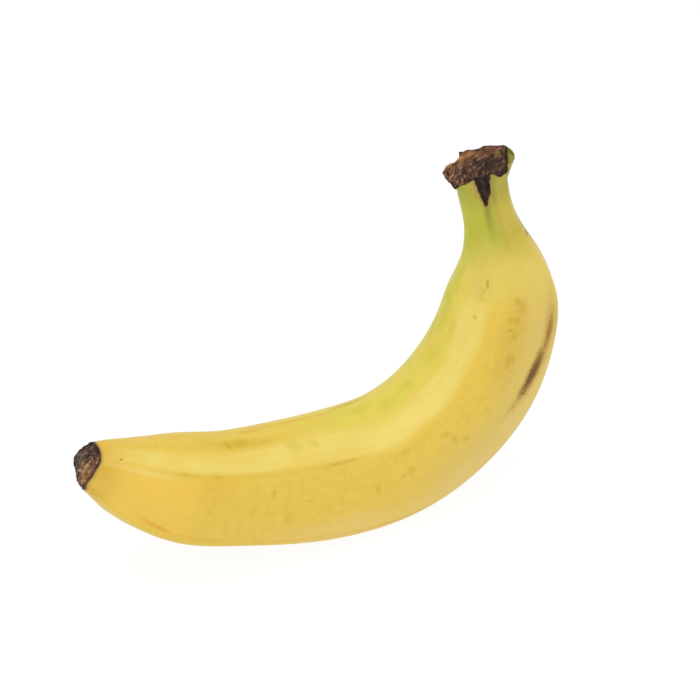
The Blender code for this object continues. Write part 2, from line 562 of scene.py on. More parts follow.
@dataclass(frozen=True)
class Mark:
    """One blemish: an oval, drawn out along the fruit.

    Its half length and half width are in millimetres. The lean is how many millimetres its far end
    moves round the fruit for each millimetre along it.
    """

    tint: Tint
    along: float
    around: float
    half_length: float
    half_width: float
    strength: float = 1.0
    lean: float = 0.0


@dataclass(frozen=True)
class Blemishes:
    """Everything that handling and ripening left on the skin, and a painted highlight on one ridge."""

    hidden_count: int = 26
    hidden_along: tuple = (22.0, 165.0)
    hidden_around: tuple = (212.0, 392.0)
    hidden_size: tuple = (0.8, 1.8)
    hidden_speck: float = 0.45
    hidden_stretch: tuple = (1.4, 3.4)
    hidden_strength: tuple = (0.2, 0.5)
    seed: int = 7

    def all(self) -> list[Mark]:
        """Return every mark, broad and faint ones first."""
        return self.ridge_lines() + self.smudges() + self.hidden() + self.bruise() + self.specks()

    def bruise(self) -> list[Mark]:
        """Bruise the outside of the bend.

        Returns:
            The parts of a long brown bruise, its paler halo first.
        """
        return [
            Mark(Tint.RUBBED, 140.2, 72.7, 12.0, 2.3, 0.55, -0.16),
            Mark(Tint.RUBBED, 150.4, 68.0, 9.0, 2.0, 0.6, -0.05),
            Mark(Tint.BROWN, 138.5, 74.3, 8.6, 1.65, 0.7, -0.16),
            Mark(Tint.BROWN, 149.2, 68.3, 5.0, 1.0, 0.8, -0.08),
            Mark(Tint.BRUISE, 138.0, 75.2, 6.4, 1.5, 0.92, -0.15),
            Mark(Tint.RUBBED, 128.5, 79.5, 4.5, 0.8, 0.4, -0.16),
        ]

    def ridge_lines(self) -> list[Mark]:
        """Rub the ridges.

        Returns:
            Thin worn lines along them, and a painted highlight streak on one near the blossom end.
        """
        return [
            Mark(Tint.GOLD, 42.0, 133.6, 32.0, 0.9, 0.45, 0.01),
            Mark(Tint.LINE, 22.0, 133.2, 3.6, 0.5, 0.35),
            Mark(Tint.LINE, 31.5, 132.8, 2.4, 0.4, 0.35),
            Mark(Tint.LINE, 71.0, 134.4, 7.0, 0.55, 0.4, 0.02),
            # Painted highlight along the ridge near the blossom end.
            Mark(Tint.PALE, 11.0, 128.5, 9.0, 0.8, 0.35),
            Mark(Tint.ORANGE, 19.2, 64.0, 4.8, 0.7, 0.75, -0.10),
            Mark(Tint.ORANGE, 30.0, 62.0, 9.0, 0.7, 0.3, -0.05),
            Mark(Tint.ORANGE, 60.0, 60.0, 17.0, 0.6, 0.2),
            Mark(Tint.LINE, 88.3, 60.0, 13.0, 0.5, 0.25),
            Mark(Tint.ORANGE, 31.0, 117.0, 8.0, 4.5, 0.12),
            Mark(Tint.ORANGE, 47.5, 185.0, 4.0, 0.6, 0.7),
            Mark(Tint.ORANGE, 62.0, 188.5, 16.0, 0.7, 0.5),
            Mark(Tint.LINE, 82.2, 192.5, 6.5, 0.45, 0.65),
            Mark(Tint.LINE, 52.5, 195.5, 3.5, 0.4, 0.6),
            Mark(Tint.LINE, 87.3, 195.5, 7.5, 0.4, 0.6),
            Mark(Tint.ORANGE, 70.0, 244.0, 34.0, 0.6, 0.4),
            Mark(Tint.LINE, 118.9, 245.0, 14.0, 0.6, 0.5),
            Mark(Tint.LINE, 40.0, 303.0, 13.0, 0.5, 0.6),
            Mark(Tint.ORANGE, 104.6, 305.5, 26.0, 0.6, 0.45),
        ]

    def smudges(self) -> list[Mark]:
        """Smudge the skin.

        Returns:
            Soft gold, olive, green and brownish patches on the side towards -Y.
        """
        return [
            Mark(Tint.GOLD, 41.0, 169.0, 15.0, 2.4, 0.6),
            Mark(Tint.OLIVE, 38.0, 169.5, 1.3, 1.6, 0.7),
            Mark(Tint.OLIVE, 42.5, 171.5, 3.0, 1.5, 0.6),
            Mark(Tint.OLIVE, 49.0, 168.0, 3.5, 0.6, 0.4),
            Mark(Tint.GREEN, 58.0, 158.0, 2.1, 1.9, 0.4),
            Mark(Tint.GREEN, 64.5, 157.0, 1.4, 1.7, 0.35),
            Mark(Tint.GREEN, 85.3, 180.0, 6.0, 1.4, 0.35),
            Mark(Tint.GREEN, 96.5, 174.0, 4.0, 1.2, 0.30),
            Mark(Tint.GREEN, 110.2, 180.0, 3.2, 1.5, 0.35),
            Mark(Tint.GREEN, 131.1, 180.0, 5.5, 1.7, 0.3),
            Mark(Tint.GREEN, 145.3, 173.0, 3.0, 1.2, 0.30),
            Mark(Tint.GREEN, 149.4, 189.0, 7.0, 2.0, 0.35),
            Mark(Tint.SMUDGE, 49.5, 116.0, 0.9, 1.7, 0.50),
            Mark(Tint.SMUDGE, 44.5, 121.0, 0.6, 1.9, 0.35),
            Mark(Tint.SMUDGE, 44.0, 99.0, 0.6, 1.4, 0.35),
            Mark(Tint.SMUDGE, 31.0, 94.0, 1.2, 1.3, 0.30),
            Mark(Tint.SMUDGE, 54.5, 88.0, 1.4, 1.6, 0.35),
            Mark(Tint.SMUDGE, 60.5, 104.0, 1.6, 0.6, 0.35),
            Mark(Tint.SMUDGE, 70.0, 103.0, 0.7, 1.2, 0.30),
            Mark(Tint.SMUDGE, 81.7, 102.0, 0.8, 1.7, 0.45),
            Mark(Tint.SMUDGE, 93.7, 108.5, 1.4, 1.0, 0.60),
            Mark(Tint.SMUDGE, 90.9, 106.0, 1.0, 0.5, 0.40),
            Mark(Tint.SMUDGE, 93.4, 127.0, 1.5, 0.8, 0.35),
            Mark(Tint.SMUDGE, 108.7, 120.0, 1.9, 0.8, 0.50, -0.3),
            Mark(Tint.SMUDGE, 110.5, 110.0, 1.0, 2.4, 0.45),
            Mark(Tint.SMUDGE, 113.3, 101.5, 1.4, 0.9, 0.45),
            Mark(Tint.SMUDGE, 124.5, 104.0, 0.6, 1.6, 0.35),
            Mark(Tint.SMUDGE, 140.8, 107.5, 2.4, 1.3, 0.70),
            Mark(Tint.SMUDGE, 148.9, 109.0, 1.4, 1.1, 0.60),
            Mark(Tint.SMUDGE, 150.7, 115.0, 0.8, 0.8, 0.80),
            Mark(Tint.SMUDGE, 154.0, 117.0, 1.0, 0.9, 0.65),
            Mark(Tint.SMUDGE, 154.0, 109.5, 1.2, 1.3, 0.60),
            Mark(Tint.SMUDGE, 157.9, 103.5, 2.0, 1.5, 0.55),
            Mark(Tint.SMUDGE, 160.1, 107.5, 1.6, 1.0, 0.60),
            Mark(Tint.SMUDGE, 153.5, 151.0, 1.1, 0.8, 0.45),
            Mark(Tint.SMUDGE, 164.5, 146.5, 2.0, 0.6, 0.40, -0.4),
            Mark(Tint.SMUDGE, 162.2, 149.5, 1.1, 0.9, 0.30),
            Mark(Tint.SMUDGE, 165.1, 150.5, 0.8, 0.6, 0.25),
            Mark(Tint.SMUDGE, 161.9, 142.5, 0.8, 0.7, 0.25),
            Mark(Tint.OLIVE, 2.3, 116.0, 1.3, 1.2, 0.35),
            Mark(Tint.OLIVE, 2.0, 60.0, 1.6, 1.6, 0.40),
        ]

    def specks(self) -> list[Mark]:
        """Speck the skin.

        Returns:
            Small dark marks.
        """
        return [
            Mark(Tint.SPECK, 5.0, 141.0, 0.4, 0.45, 0.6),
            Mark(Tint.SPECK, 150.7, 115.0, 0.35, 0.35, 0.4),
            Mark(Tint.SPECK, 167.2, 141.6, 1.9, 0.4, 0.4, -0.12),
            Mark(Tint.SPECK, 174.6, 44.0, 0.9, 1.0, 1.0),
        ]

    def hidden(self) -> list[Mark]:
        """Scatter marks of the same kinds over the back and the underside.

        Returns:
            The same marks each run, as the draw is seeded.
        """
        draw = np.random.default_rng(self.seed)
        kinds = (Tint.SMUDGE, Tint.SMUDGE, Tint.GREEN, Tint.RUBBED, Tint.SPECK)
        marks = []
        for _ in range(self.hidden_count):
            kind = kinds[draw.integers(len(kinds))]
            size = self.hidden_speck if kind is Tint.SPECK else draw.uniform(*self.hidden_size)
            length = size * draw.uniform(*self.hidden_stretch)
            along, around = draw.uniform(*self.hidden_along), draw.uniform(*self.hidden_around) % 360
            marks.append(Mark(kind, along, around, length, size, draw.uniform(*self.hidden_strength)))
        return marks


# Banana peel, ripe: living skin with a thin coat of its own wax. It grew in five faces round the pulp.
# The wax gives it a soft sheen with no sharp reflections, and the skin below shows as gold that turns
# to green where it ripens last, with faint lengthwise fibres, pores and brown rubbed places.
@dataclass(frozen=True)
class WaxyPeel:
    """Ripe banana peel with its natural wax."""

    name: str = "ripe_banana_peel_waxed"
    gold: str = "#e3c04a"
    zones: tuple = (
        ("warm", "#e9c14c"),
        ("dull", "#d8bc60"),
        # Painted reflection: paler, greyer skin towards the underside and the lower edge, standing for light
        # from the white table and grazing reflection.
        ("floor_reflection", "#e2c67c"),
        ("deep", "#d6a93c"),
        ("inner", "#decc53"),
        # Painted highlight: the pale zone is partly paler skin on the upper face and partly a painted sheen
        # band where the overhead light falls.
        ("pale", "#e8d26c"),
        ("lime", "#c2c640"),
        ("light", "#dcc55a"),
        ("olive", "#beae3d"),
        ("green", "#b7b83b"),
        # This zone is partly the neck's own deep green and partly painted shade along the neck's inner edge.
        ("leaf_green_and_shade", "#babc0e"),
        # Painted shade: the crease zone darkens the neck along the crease below the split.
        ("crease", "#89872b"),
        ("tired", "#828332"),
        ("peppered", "#cda844"),
    )
    zones_over_marks: tuple = (("torn", "#b28c4a"), ("dried", "#352721"))
    mottle_tint: str = "#cbb041"
    fibre_tint: str = "#edd173"
    speck_tint: str = "#896a33"
    roughness: float = 0.46
    roughness_spread: float = 0.08
    sheen: float = 0.3
    mottle: float = 8.0
    fine_mottle: float = 1.9
    mottle_stretch: float = 1.25
    # A pixel of the picture is about 0.27 mm on the fruit. Real fibres are about 0.3 mm wide, real
    # pores and the finest specks about 0.1 mm, so all three are drawn coarser than they are.
    fibre_width: float = 1.2
    fibre_length: float = 22.0
    speck_gap: float = 0.8
    speck_radius: float = 0.2
    pore: float = 0.45
    pore_depth: float = 0.1
    # How fine the ragged edges of the blemishes are.
    ragged: float = 0.8

    def material(self) -> bpy.types.Material:
        """Make the material.

        Returns:
            A material that reads the values stored on the peel's mesh.
        """
        material = bpy.data.materials.new(self.name)
        material.use_nodes = True
        tree = material.node_tree
        shader = tree.nodes["Principled BSDF"]
        straight = add(tree, "Attribute", {"attribute_name": "straight"}).outputs["Vector"]
        colour = self.painted(tree, straight)
        colour = self.freckled(tree, straight, colour)
        colour = self.marked(tree, straight, colour)
        colour = self.zoned(tree, straight, colour, self.zones_over_marks)
        tree.links.new(colour, shader.inputs["Base Color"])
        self.surface(tree, straight, shader)
        return material

    def painted(self, tree: bpy.types.NodeTree, straight: bpy.types.NodeSocket) -> bpy.types.NodeSocket:
        """Blend the colours of the skin's broad zones, its mottle and its fibres.

        Args:
            tree: Node tree of the material.
            straight: Place on the fruit as if it were unbent, in millimetres.

        Returns:
            The colour.
        """
        plain = add(tree, "MixRGB", {"Color1": linear(self.gold), "Color2": linear(self.mottle_tint)})
        across = 1 / (self.mottle_stretch * self.fine_mottle)
        size = (across, across, 1 / self.fine_mottle)
        upright = add(tree, "Mapping", {"Scale": size}, {"Vector": straight})
        patches = add(tree, "TexNoise", {"Scale": 1.0, "Detail": 3.0}, {"Vector": upright})
        spread = {"From Min": 0.42, "From Max": 0.75, "To Max": 0.36}
        amount = add(tree, "MapRange", spread, {"Value": patches})
        tree.links.new(amount.outputs[0], plain.inputs["Fac"])
        colour = self.zoned(tree, straight, plain.outputs[0], self.zones)
        size = (1 / self.fibre_width, 1 / self.fibre_width, 1 / self.fibre_length)
        stretched = add(tree, "Mapping", {"Scale": size}, {"Vector": straight})
        fibres = add(tree, "TexNoise", {"Scale": 1.0, "Detail": 2.0}, {"Vector": stretched})
        pale, dark = (self.fibre_tint, 0.8, 0.14), (self.mottle_tint, 0.2, 0.16)
        for tint, full, most in (pale, dark):
            spread = {"From Min": 0.5, "From Max": full, "To Max": most}
            share = add(tree, "MapRange", spread, {"Value": fibres})
            links = {"Fac": share, "Color1": colour}
            colour = add(tree, "MixRGB", {"Color2": linear(tint)}, links).outputs[0]
        return colour

    def zoned(
        self,
        tree: bpy.types.NodeTree,
        straight: bpy.types.NodeSocket,
        colour: bpy.types.NodeSocket,
        zones: tuple,
    ) -> bpy.types.NodeSocket:
        """Lay zones over a colour, each broken up by mottle.

        Args:
            tree: Node tree of the material.
            straight: Place on the fruit as if it were unbent, in millimetres.
            colour: Colour so far.
            zones: Name of the stored value and colour of each zone.

        Returns:
            The colour with the zones on it.
        """
        size = {"Scale": 1 / self.mottle, "Detail": 4.0, "Roughness": 0.6}
        mottle = add(tree, "TexNoise", size, {"Vector": straight})
        spread = {"From Min": 0.25, "From Max": 0.75, "To Min": 0.7, "To Max": 1.3}
        broken = add(tree, "MapRange", spread, {"Value": mottle})
        for name, tint in zones:
            zone = add(tree, "Attribute", {"attribute_name": name}).outputs["Fac"]
            share = add(tree, "Math", {"operation": "MULTIPLY", "use_clamp": True}, {0: zone, 1: broken})
            links = {"Fac": share, "Color1": colour}
            colour = add(tree, "MixRGB", {"Color2": linear(tint)}, links).outputs[0]
        return colour

    def freckled(
        self, tree: bpy.types.NodeTree, straight: bpy.types.NodeSocket, colour: bpy.types.NodeSocket
    ) -> bpy.types.NodeSocket:
        """Sprinkle small round specks, thick where the stored value says so.

        Args:
            tree: Node tree of the material.
            straight: Place on the fruit as if it were unbent, in millimetres.
            colour: Colour so far.

        Returns:
            The colour with the specks on it.
        """
        cells = add(tree, "TexVoronoi", {"Scale": 1 / self.speck_gap}, {"Vector": straight})
        radius = self.speck_radius / self.speck_gap
        near = {"From Min": 1.3 * radius, "From Max": 0.5 * radius}
        dot = add(tree, "MapRange", near, {"Value": cells.outputs["Distance"]})
        pick = add(tree, "SeparateColor", {}, {"Color": cells.outputs["Color"]})
        chosen = add(tree, "MapRange", {"From Min": 0.3, "From Max": 0.65}, {"Value": pick})
        zone = add(tree, "Attribute", {"attribute_name": "freckles"}).outputs["Fac"]
        some = add(tree, "Math", {"operation": "MULTIPLY"}, {0: dot, 1: chosen})
        share = add(tree, "Math", {"operation": "MULTIPLY"}, {0: some, 1: zone})
        links = {"Fac": share, "Color1": colour}
        return add(tree, "MixRGB", {"Color2": linear(self.speck_tint)}, links).outputs[0]

    def marked(
        self, tree: bpy.types.NodeTree, straight: bpy.types.NodeSocket, colour: bpy.types.NodeSocket
    ) -> bpy.types.NodeSocket:
        """Paint the blemishes, with ragged edges, from the distances stored on the mesh.

        Args:
            tree: Node tree of the material.
            straight: Place on the fruit as if it were unbent, in millimetres.
            colour: Colour so far.

        Returns:
            The colour with the marks on it.
        """
        size = {"Scale": 1 / self.ragged, "Detail": 4.0, "Roughness": 0.7}
        ragged = add(tree, "TexNoise", size, {"Vector": straight})
        border = 0.85  # of a mark's half length and half width
        for tint in Tint:
            shade, fade, reach = tint.value
            wander = add(tree, "MapRange", {"To Min": -reach, "To Max": reach}, {"Value": ragged})
            stored = add(tree, "Attribute", {"attribute_name": tint.stored()}).outputs["Vector"]
            parts = add(tree, "SeparateXYZ", {}, {0: stored})
            uneven = add(tree, "Math", {"operation": "ADD"}, {0: parts.outputs["X"], 1: wander})
            edge = {
                "interpolation_type": "SMOOTHSTEP",
                "From Min": border + fade / 2,
                "From Max": border - fade / 2,
            }
            inside = add(tree, "MapRange", edge, {"Value": uneven, "To Max": parts.outputs["Y"]})
            links = {"Fac": inside, "Color1": colour}
            colour = add(tree, "MixRGB", {"Color2": linear(shade)}, links).outputs[0]
        return colour

    def surface(
        self, tree: bpy.types.NodeTree, straight: bpy.types.NodeSocket, shader: bpy.types.ShaderNode
    ) -> None:
        """Give the skin its pores and its uneven gloss.

        Args:
            tree: Node tree of the material.
            straight: Place on the fruit as if it were unbent, in millimetres.
            shader: The material's surface shader.
        """
        pores = add(tree, "TexNoise", {"Scale": 1 / self.pore, "Detail": 2.0}, {"Vector": straight})
        depth = {"Strength": 0.12, "Distance": self.pore_depth * MM}
        bump = add(tree, "Bump", depth, {"Height": pores})
        tree.links.new(bump.outputs[0], shader.inputs["Normal"])
        patches = add(tree, "TexNoise", {"Scale": 1 / self.mottle, "Detail": 3.0}, {"Vector": straight})
        least, most = self.roughness - self.roughness_spread, self.roughness + self.roughness_spread
        spread = {"To Min": least, "To Max": most}
        gloss = add(tree, "MapRange", spread, {"Value": patches})
        tree.links.new(gloss.outputs[0], shader.inputs["Roughness"])
        shader.inputs["Specular IOR Level"].default_value = self.sheen


@dataclass(frozen=True)
class Wash:
    """A soft-edged stretch of one of the finish's zones.

    It lies between two angles round the fruit and between two places along it, and each pair of
    borders fades over the width that is given third. On the peel, a wandering one follows the twist
    of the ridges with uneven borders, and a patchy one is broken up into blotches.
    """

    zone: str
    strength: float = 1.0
    angles: tuple = ALL_ROUND
    places: tuple = (START, END, 1.0)
    wanders: bool = True
    patchy: bool = False

    def cover(self, around: np.ndarray, along: np.ndarray) -> np.ndarray:
        """Return how much of the zone each point has from this stretch."""
        return self.strength * arc(around, *self.angles) * band(along, *self.places)


class Rings(NamedTuple):
    """Rings of points, with how far each point lies from the middle line and how far along it."""

    points: np.ndarray
    width: np.ndarray
    along: np.ndarray


@dataclass(frozen=True)
class Peel:
    """The skin from the blossom scar to the rim of the crown."""

    shape: FruitShape
    finish: WaxyPeel = WaxyPeel()
    blemishes: Blemishes = Blemishes()
    sides: int = 216
    ring_gap: float = 0.56
    ring_crowding: float = 0.05
    first_angle: float = -60.0
    lowest: float = 0.0
    # Low dents and lengthwise flutes of the skin: depth, and size of one as if unbent.
    dents: tuple = (0.22, (14.0, 14.0, 26.0))
    flutes: tuple = (0.10, (3.2, 3.2, 45.0))
    # Stretch over which the fruit narrows to its neck.
    neck: tuple = (160.0, 180.0)
    neck_fluting: float = 0.8
    smooth_tip: float = 12.0
    split_depth: float = 1.5
    split_soft: float = 2.5
    split_start: float = 0.6
    split_lip: float = 0.12
    lip_place: float = -4.0
    lip_width: float = 3.0
    wall_rings: int = 24
    # Rings of the edge that turns in under the torn wood, as shares of the rim's radius.
    cap_shares: tuple = (0.985, 0.96, 0.92, 0.87, 0.8, 0.7, 0.55, 0.35, 0.15)
    cap_start: float = 0.5
    cap_sink: float = 0.9
    cap_round: float = 0.04
    # Where the border at the blossom scar creeps along the fruit: angle, spread, how far.
    creeps: tuple = ((45.0, 40.0, -1.2), (80.0, 17.0, -0.9), (143.0, 24.0, 1.0))
    creep_reach: float = 5.0
    creep_wobble: float = 0.15
    creep_wobbles: int = 9
    creep_wobble_start: float = 40.0
    border_wander: float = 9.0
    border_lumps: tuple = (11.0, 11.0, 17.0)
    patch_lumps: tuple = (5.0, 5.0, 7.0)
    patch_contrast: float = 1.8
    # What is stored far from every mark, in shares of a mark's size.
    unmarked: float = 4.0
    washes: tuple = (
        Wash("warm", 1.0, (60.0, 133.0, 18.0), (5.0, 27.0, 9.0)),
        Wash("dull", 0.9, (-30.0, 104.0, 34.0), (98.0, 172.0, 34.0)),
        # Painted reflection of the white table on the underside and along the lower edge.
        Wash("floor_reflection", 0.45, (-40.0, 76.0, 26.0), (55.0, 168.0, 34.0)),
        Wash("deep", 0.5, ALL_ROUND, (START, 4.5, 9.0)),
        Wash("deep", 0.35, (100.0, 165.0, 30.0), (START, 4.5, 9.0)),
        Wash("inner", 0.35, (163.0, 236.0, 16.0), (35.0, END, 30.0)),
        Wash("inner", 0.65, (163.0, 236.0, 16.0), (67.5, END, 35.0)),
        Wash("lime", 0.3, (182.0, 262.0, 16.0), (146.0, 180.0, 14.0)),
        # Painted highlight: pale band on the upper face, partly paler skin and partly painted sheen from the
        # light above.
        Wash("pale", 1.0, (139.0, 165.0, 14.0), (5.0, 167.0, 14.0)),
        Wash("light", 0.7, (40.0, 165.0, 30.0), (160.0, 186.0, 14.0)),
        Wash("light", 0.3, (120.0, 165.0, 20.0), (160.0, 186.0, 14.0)),
        Wash("olive", 1.0, (-30.0, 104.0, 16.0), (173.0, END, 14.0), wanders=False),
        Wash("green", 1.0, (104.0, 330.0, 16.0), (175.5, END, 13.0), wanders=False),
        Wash("green", -0.14, (134.0, 160.0, 12.0), (175.5, END, 13.0), wanders=False),
        # Partly the neck's own green, partly painted shade: deeper, darker green along the neck's inner side
        # where it turns away.
        Wash("leaf_green_and_shade", 0.6, (164.0, 225.0, 24.0), (174.0, END, 12.0), wanders=False),
        Wash("leaf_green_and_shade", 0.3, (176.0, 230.0, 12.0), (174.0, END, 12.0), wanders=False),
        Wash("leaf_green_and_shade", 0.1, (184.0, 245.0, 14.0), (132.0, 172.0, 16.0), wanders=False),
        Wash("leaf_green_and_shade", 0.3, (184.0, 245.0, 14.0), (132.0, 172.0, 16.0), wanders=False, patchy=True),
        Wash("leaf_green_and_shade", 0.16, (166.0, 240.0, 14.0), (70.0, 132.0, 16.0), wanders=False, patchy=True),
        # Painted shade: a darker band round the crease on the neck.
        Wash("crease", 0.2, (97.0, 128.0, 14.0), (175.5, END, 9.0), wanders=False),
        Wash("tired", 0.35, ALL_ROUND, (189.5, END, 7.0)),
        Wash("tired", 0.3, (88.0, 112.0, 12.0), (189.5, END, 7.0), wanders=False),
        Wash("tired", 0.4, (-40.0, 60.0, 10.0), (191.5, END, 5.0), wanders=False),
        Wash("torn", 0.75, ALL_ROUND, (START, 0.65, 1.3)),
        Wash("dried", 1.0, ALL_ROUND, (START, 0.3, 0.4)),
        Wash("peppered", 0.36, (97.0, 122.0, 12.0), (132.0, 161.0, 10.0), wanders=False),
        Wash("freckles", 0.05),
        Wash("freckles", 0.45, (98.0, 121.0, 10.0), (133.0, 160.0, 8.0), wanders=False),
    )
    inner_most: float = 0.9
    inner_shoulder: Wash = Wash("inner", 1.0, (140.0, 236.0, 18.0), (142.0, 172.0, 16.0))
    # Strength of the pale band and its painted highlight, a little more along the middle of the fruit.
    highlight_least: float = 0.7
    highlight_middle: Wash = Wash("pale", 0.25, ALL_ROUND, (78.0, 158.0, 30.0))
    # Painted shade: a darker line along the crease, and its width in degrees.
    crease_shade_line: Wash = Wash("crease", 0.75, ALL_ROUND, (184.0, END, 12.0))
    crease_shade_width: float = 7.0
    fringe_left: float = 5.0
    fringe_right: float = 3.2
    fringe_depth: float = 3.0
    fringe_below: float = 1.0
    fringe_soft: float = 1.5

    def build(self) -> bpy.types.Object:
        """Make the peel and dress it.

        Returns:
            The peel's object.
        """
        around = (np.arange(self.sides) / self.sides * 360 + self.first_angle)[None, :]
        parts = zip(self.body(around), self.collar(around))
        points, width, along = (np.concatenate(pair) for pair in parts)
        points[..., 2] = np.maximum(points[..., 2], self.lowest)
        angles = np.broadcast_to(around, along.shape)
        values = self.zones(angles, along) | self.stains(angles, along)
        values["straight"] = np.stack([*out_and_side(angles, width), along], axis=-1)
        peel = RingMesh("banana_peel", points, values).build()
        peel.data.materials.append(self.finish.material())
        return peel

    def body(self, around: np.ndarray) -> Rings:
        """Form the skin below the crown.

        Args:
            around: Angles round the fruit.

        Returns:
            Its rings, from the blossom scar to the foot of the crown.
        """
        shape = self.shape
        length = shape.length()
        even = np.linspace(0, 1, int(length / self.ring_gap))[:, None]
        along = length * (even - self.ring_crowding * np.sin(2 * np.pi * even))
        centre, outward, travel, radius = (v[:, 0] for v in shape.middle_line(along))
        height = along - length
        width = radius[:, None] * shape.section(around, along) - shape.tuck(around, along)
        width = width - shape.crease(around, height) - self.sunk(around, height)
        out, side = out_and_side(around, width)
        width = width + self.relief(np.stack(np.broadcast_arrays(out, side, along), axis=-1), along)
        out, side = out_and_side(around, width)
        lean = ease(1 - along / shape.scar_reach) * shape.slant(around, width) + self.creep(around, along)
        points = (
            centre[:, None]
            + out[..., None] * outward[:, None]
            + side[..., None] * SIDE
            + lean[..., None] * travel[:, None]
        )
        return Rings(points, width, along + 0 * around)

    def collar(self, around: np.ndarray) -> Rings:
        """Form the skin on the crown's wall, and its edge that turns in under the torn wood.

        Args:
            around: Angles round the fruit.

        Returns:
            Its rings, from the foot of the crown to the middle of its top.
        """
        shape = self.shape
        rise = np.linspace(0, 1, self.wall_rings)[1:, None]
        wide, high = shape.wall(around, rise)
        in_split = ease(shape.split_edge(around, high) / self.split_soft + 0.5)
        wide = wide - shape.crease(around, high) - self.sunk(around, high)
        high = high - self.cap_sink * in_split * ease((rise - self.cap_start) / (1 - self.cap_start))
        share = np.array(self.cap_shares)[:, None]
        edge = wide[-1][None] * share
        sink = self.cap_sink * np.maximum(ease((1 - share) / self.cap_round), in_split[-1])
        wide = np.concatenate([wide, edge])
        high = np.concatenate([high, shape.top(around, edge) - sink])
        angles = np.broadcast_to(around, wide.shape)
        points = shape.frame_at(shape.length()).place(angles, wide, high)
        return Rings(points, wide, shape.length() + high)

    def creep(self, around: np.ndarray, along: np.ndarray) -> np.ndarray:
        """Let the border at the blossom scar run unevenly round it.

        Args:
            around: Angles round the fruit.
            along: Places along it.

        Returns:
            How far along the fruit each point moves.
        """
        total = self.creep_wobble * np.sin(np.radians(self.creep_wobbles * around + self.creep_wobble_start))
        for middle, spread, shift in self.creeps:
            total = total + shift * hump(around, middle, spread)
        return total * ease(1 - along / self.creep_reach)

    def sunk(self, around: np.ndarray, height: np.ndarray) -> np.ndarray:
        """Open the split below the crown, with crisp, slightly raised borders.

        Args:
            around: Angles round the fruit.
            height: Heights above the foot of the crown.

        Returns:
            How deep each point sinks, negative where it is raised.
        """
        inside = self.shape.split_edge(around, height)
        above = ease((height - self.shape.split_tip) / self.split_start)
        lip = self.split_lip * np.exp(-(((inside - self.lip_place) / self.lip_width) ** 2))
        return (self.split_depth * ease(inside / self.split_soft + 0.5) - lip) * above

    def relief(self, straight: np.ndarray, along: np.ndarray) -> np.ndarray:
        """Raise the low dents and flutes of the skin.

        Args:
            straight: Place of each point as if the fruit were unbent.
            along: Place of each ring along the fruit.

        Returns:
            How far each point stands out.
        """
        depth, size = self.dents
        low = depth * noise_field(straight, size, seed=1.0)
        depth, size = self.flutes
        flutes = depth * noise_field(straight, size, seed=2.0)
        start, end = self.neck
        neck = ease((along - start) / (end - start))
        return (low * (1 - neck) + flutes * (1 + self.neck_fluting * neck)) * ease(along / self.smooth_tip)

    def stains(self, around: np.ndarray, along: np.ndarray) -> dict[str, np.ndarray]:
        """Measure how far each point is from the nearest mark of each kind.

        Args:
            around: Angle of each point.
            along: Place of each point along the fruit.

        Returns:
            For each kind, the distance as a share of the mark's size, and the mark's strength.
        """
        level = np.clip(along[:, :1], 0, self.shape.length())
        radius = self.shape.middle_line(level)[3] * self.shape.mean_width
        far = np.stack([self.unmarked + 0 * along, 0 * along, 0 * along], axis=-1)
        values = {tint.stored(): far.copy() for tint in Tint}
        for mark in self.blemishes.all():
            lengthwise = along - mark.along
            across = np.radians(turned(around, mark.around)) * radius - mark.lean * lengthwise
            away = np.hypot(across / mark.half_width, lengthwise / mark.half_length)
            kind = values[mark.tint.stored()]
            nearer = away < kind[..., 0]
            kind[nearer] = np.stack([away, mark.strength + 0 * away, 0 * away], axis=-1)[nearer]
        return values

    def zones(self, around: np.ndarray, along: np.ndarray) -> dict[str, np.ndarray]:
        """Lay out the broad colours of the skin, with its painted highlight, reflection and shade.

        Args:
            around: Angle of each point.
            along: Place of each point along the fruit.

        Returns:
            How much of each zone's colour each point has.
        """
        shape = self.shape
        place = np.stack([*out_and_side(around, shape.widest()), along], axis=-1)
        wander = self.border_wander * noise_field(place, self.border_lumps, seed=9.0)
        face = around - shape.twist(along) + wander
        patches = ease(0.5 + self.patch_contrast * noise_field(place, self.patch_lumps, seed=10.0))
        values = {}
        for wash in self.washes:
            cover = wash.cover(face if wash.wanders else around, along)
            values[wash.zone] = values.get(wash.zone, 0) + cover * (patches if wash.patchy else 1)
        ripe_last = values["inner"]
        shoulder = self.inner_shoulder.cover(face, along)
        values["inner"] = self.inner_most * (ripe_last + shoulder * (1 - ripe_last))
        # The pale band's painted highlight is strongest along the middle.
        values["pale"] *= self.highlight_least + self.highlight_middle.cover(around, along)
        height = along - shape.length()
        # Painted shade along the crease.
        near_crease = shape.near_crease(around, height, self.crease_shade_width)
        values["crease"] += self.crease_shade_line.cover(around, along) * near_crease
        values["torn"] += self.fringe(around, height)
        return values

    def fringe(self, around: np.ndarray, height: np.ndarray) -> np.ndarray:
        """Dry the skin along the border of the split, wider on its left.

        Args:
            around: Angle of each point.
            height: Height of each point above the foot of the crown.

        Returns:
            How much of the torn colour each point has.
        """
        shape = self.shape
        inside = shape.split_edge(around, height)
        on_left = ease(turned(around, shape.split_angle) / shape.split_middle_soft + 0.5)
        width = self.fringe_right + (self.fringe_left - self.fringe_right) * on_left
        near = np.exp(-((np.clip(-inside, 0, None) / width) ** 2)) * (inside < self.fringe_depth)
        return near * ease((height - shape.split_tip + self.fringe_below) / self.fringe_soft)
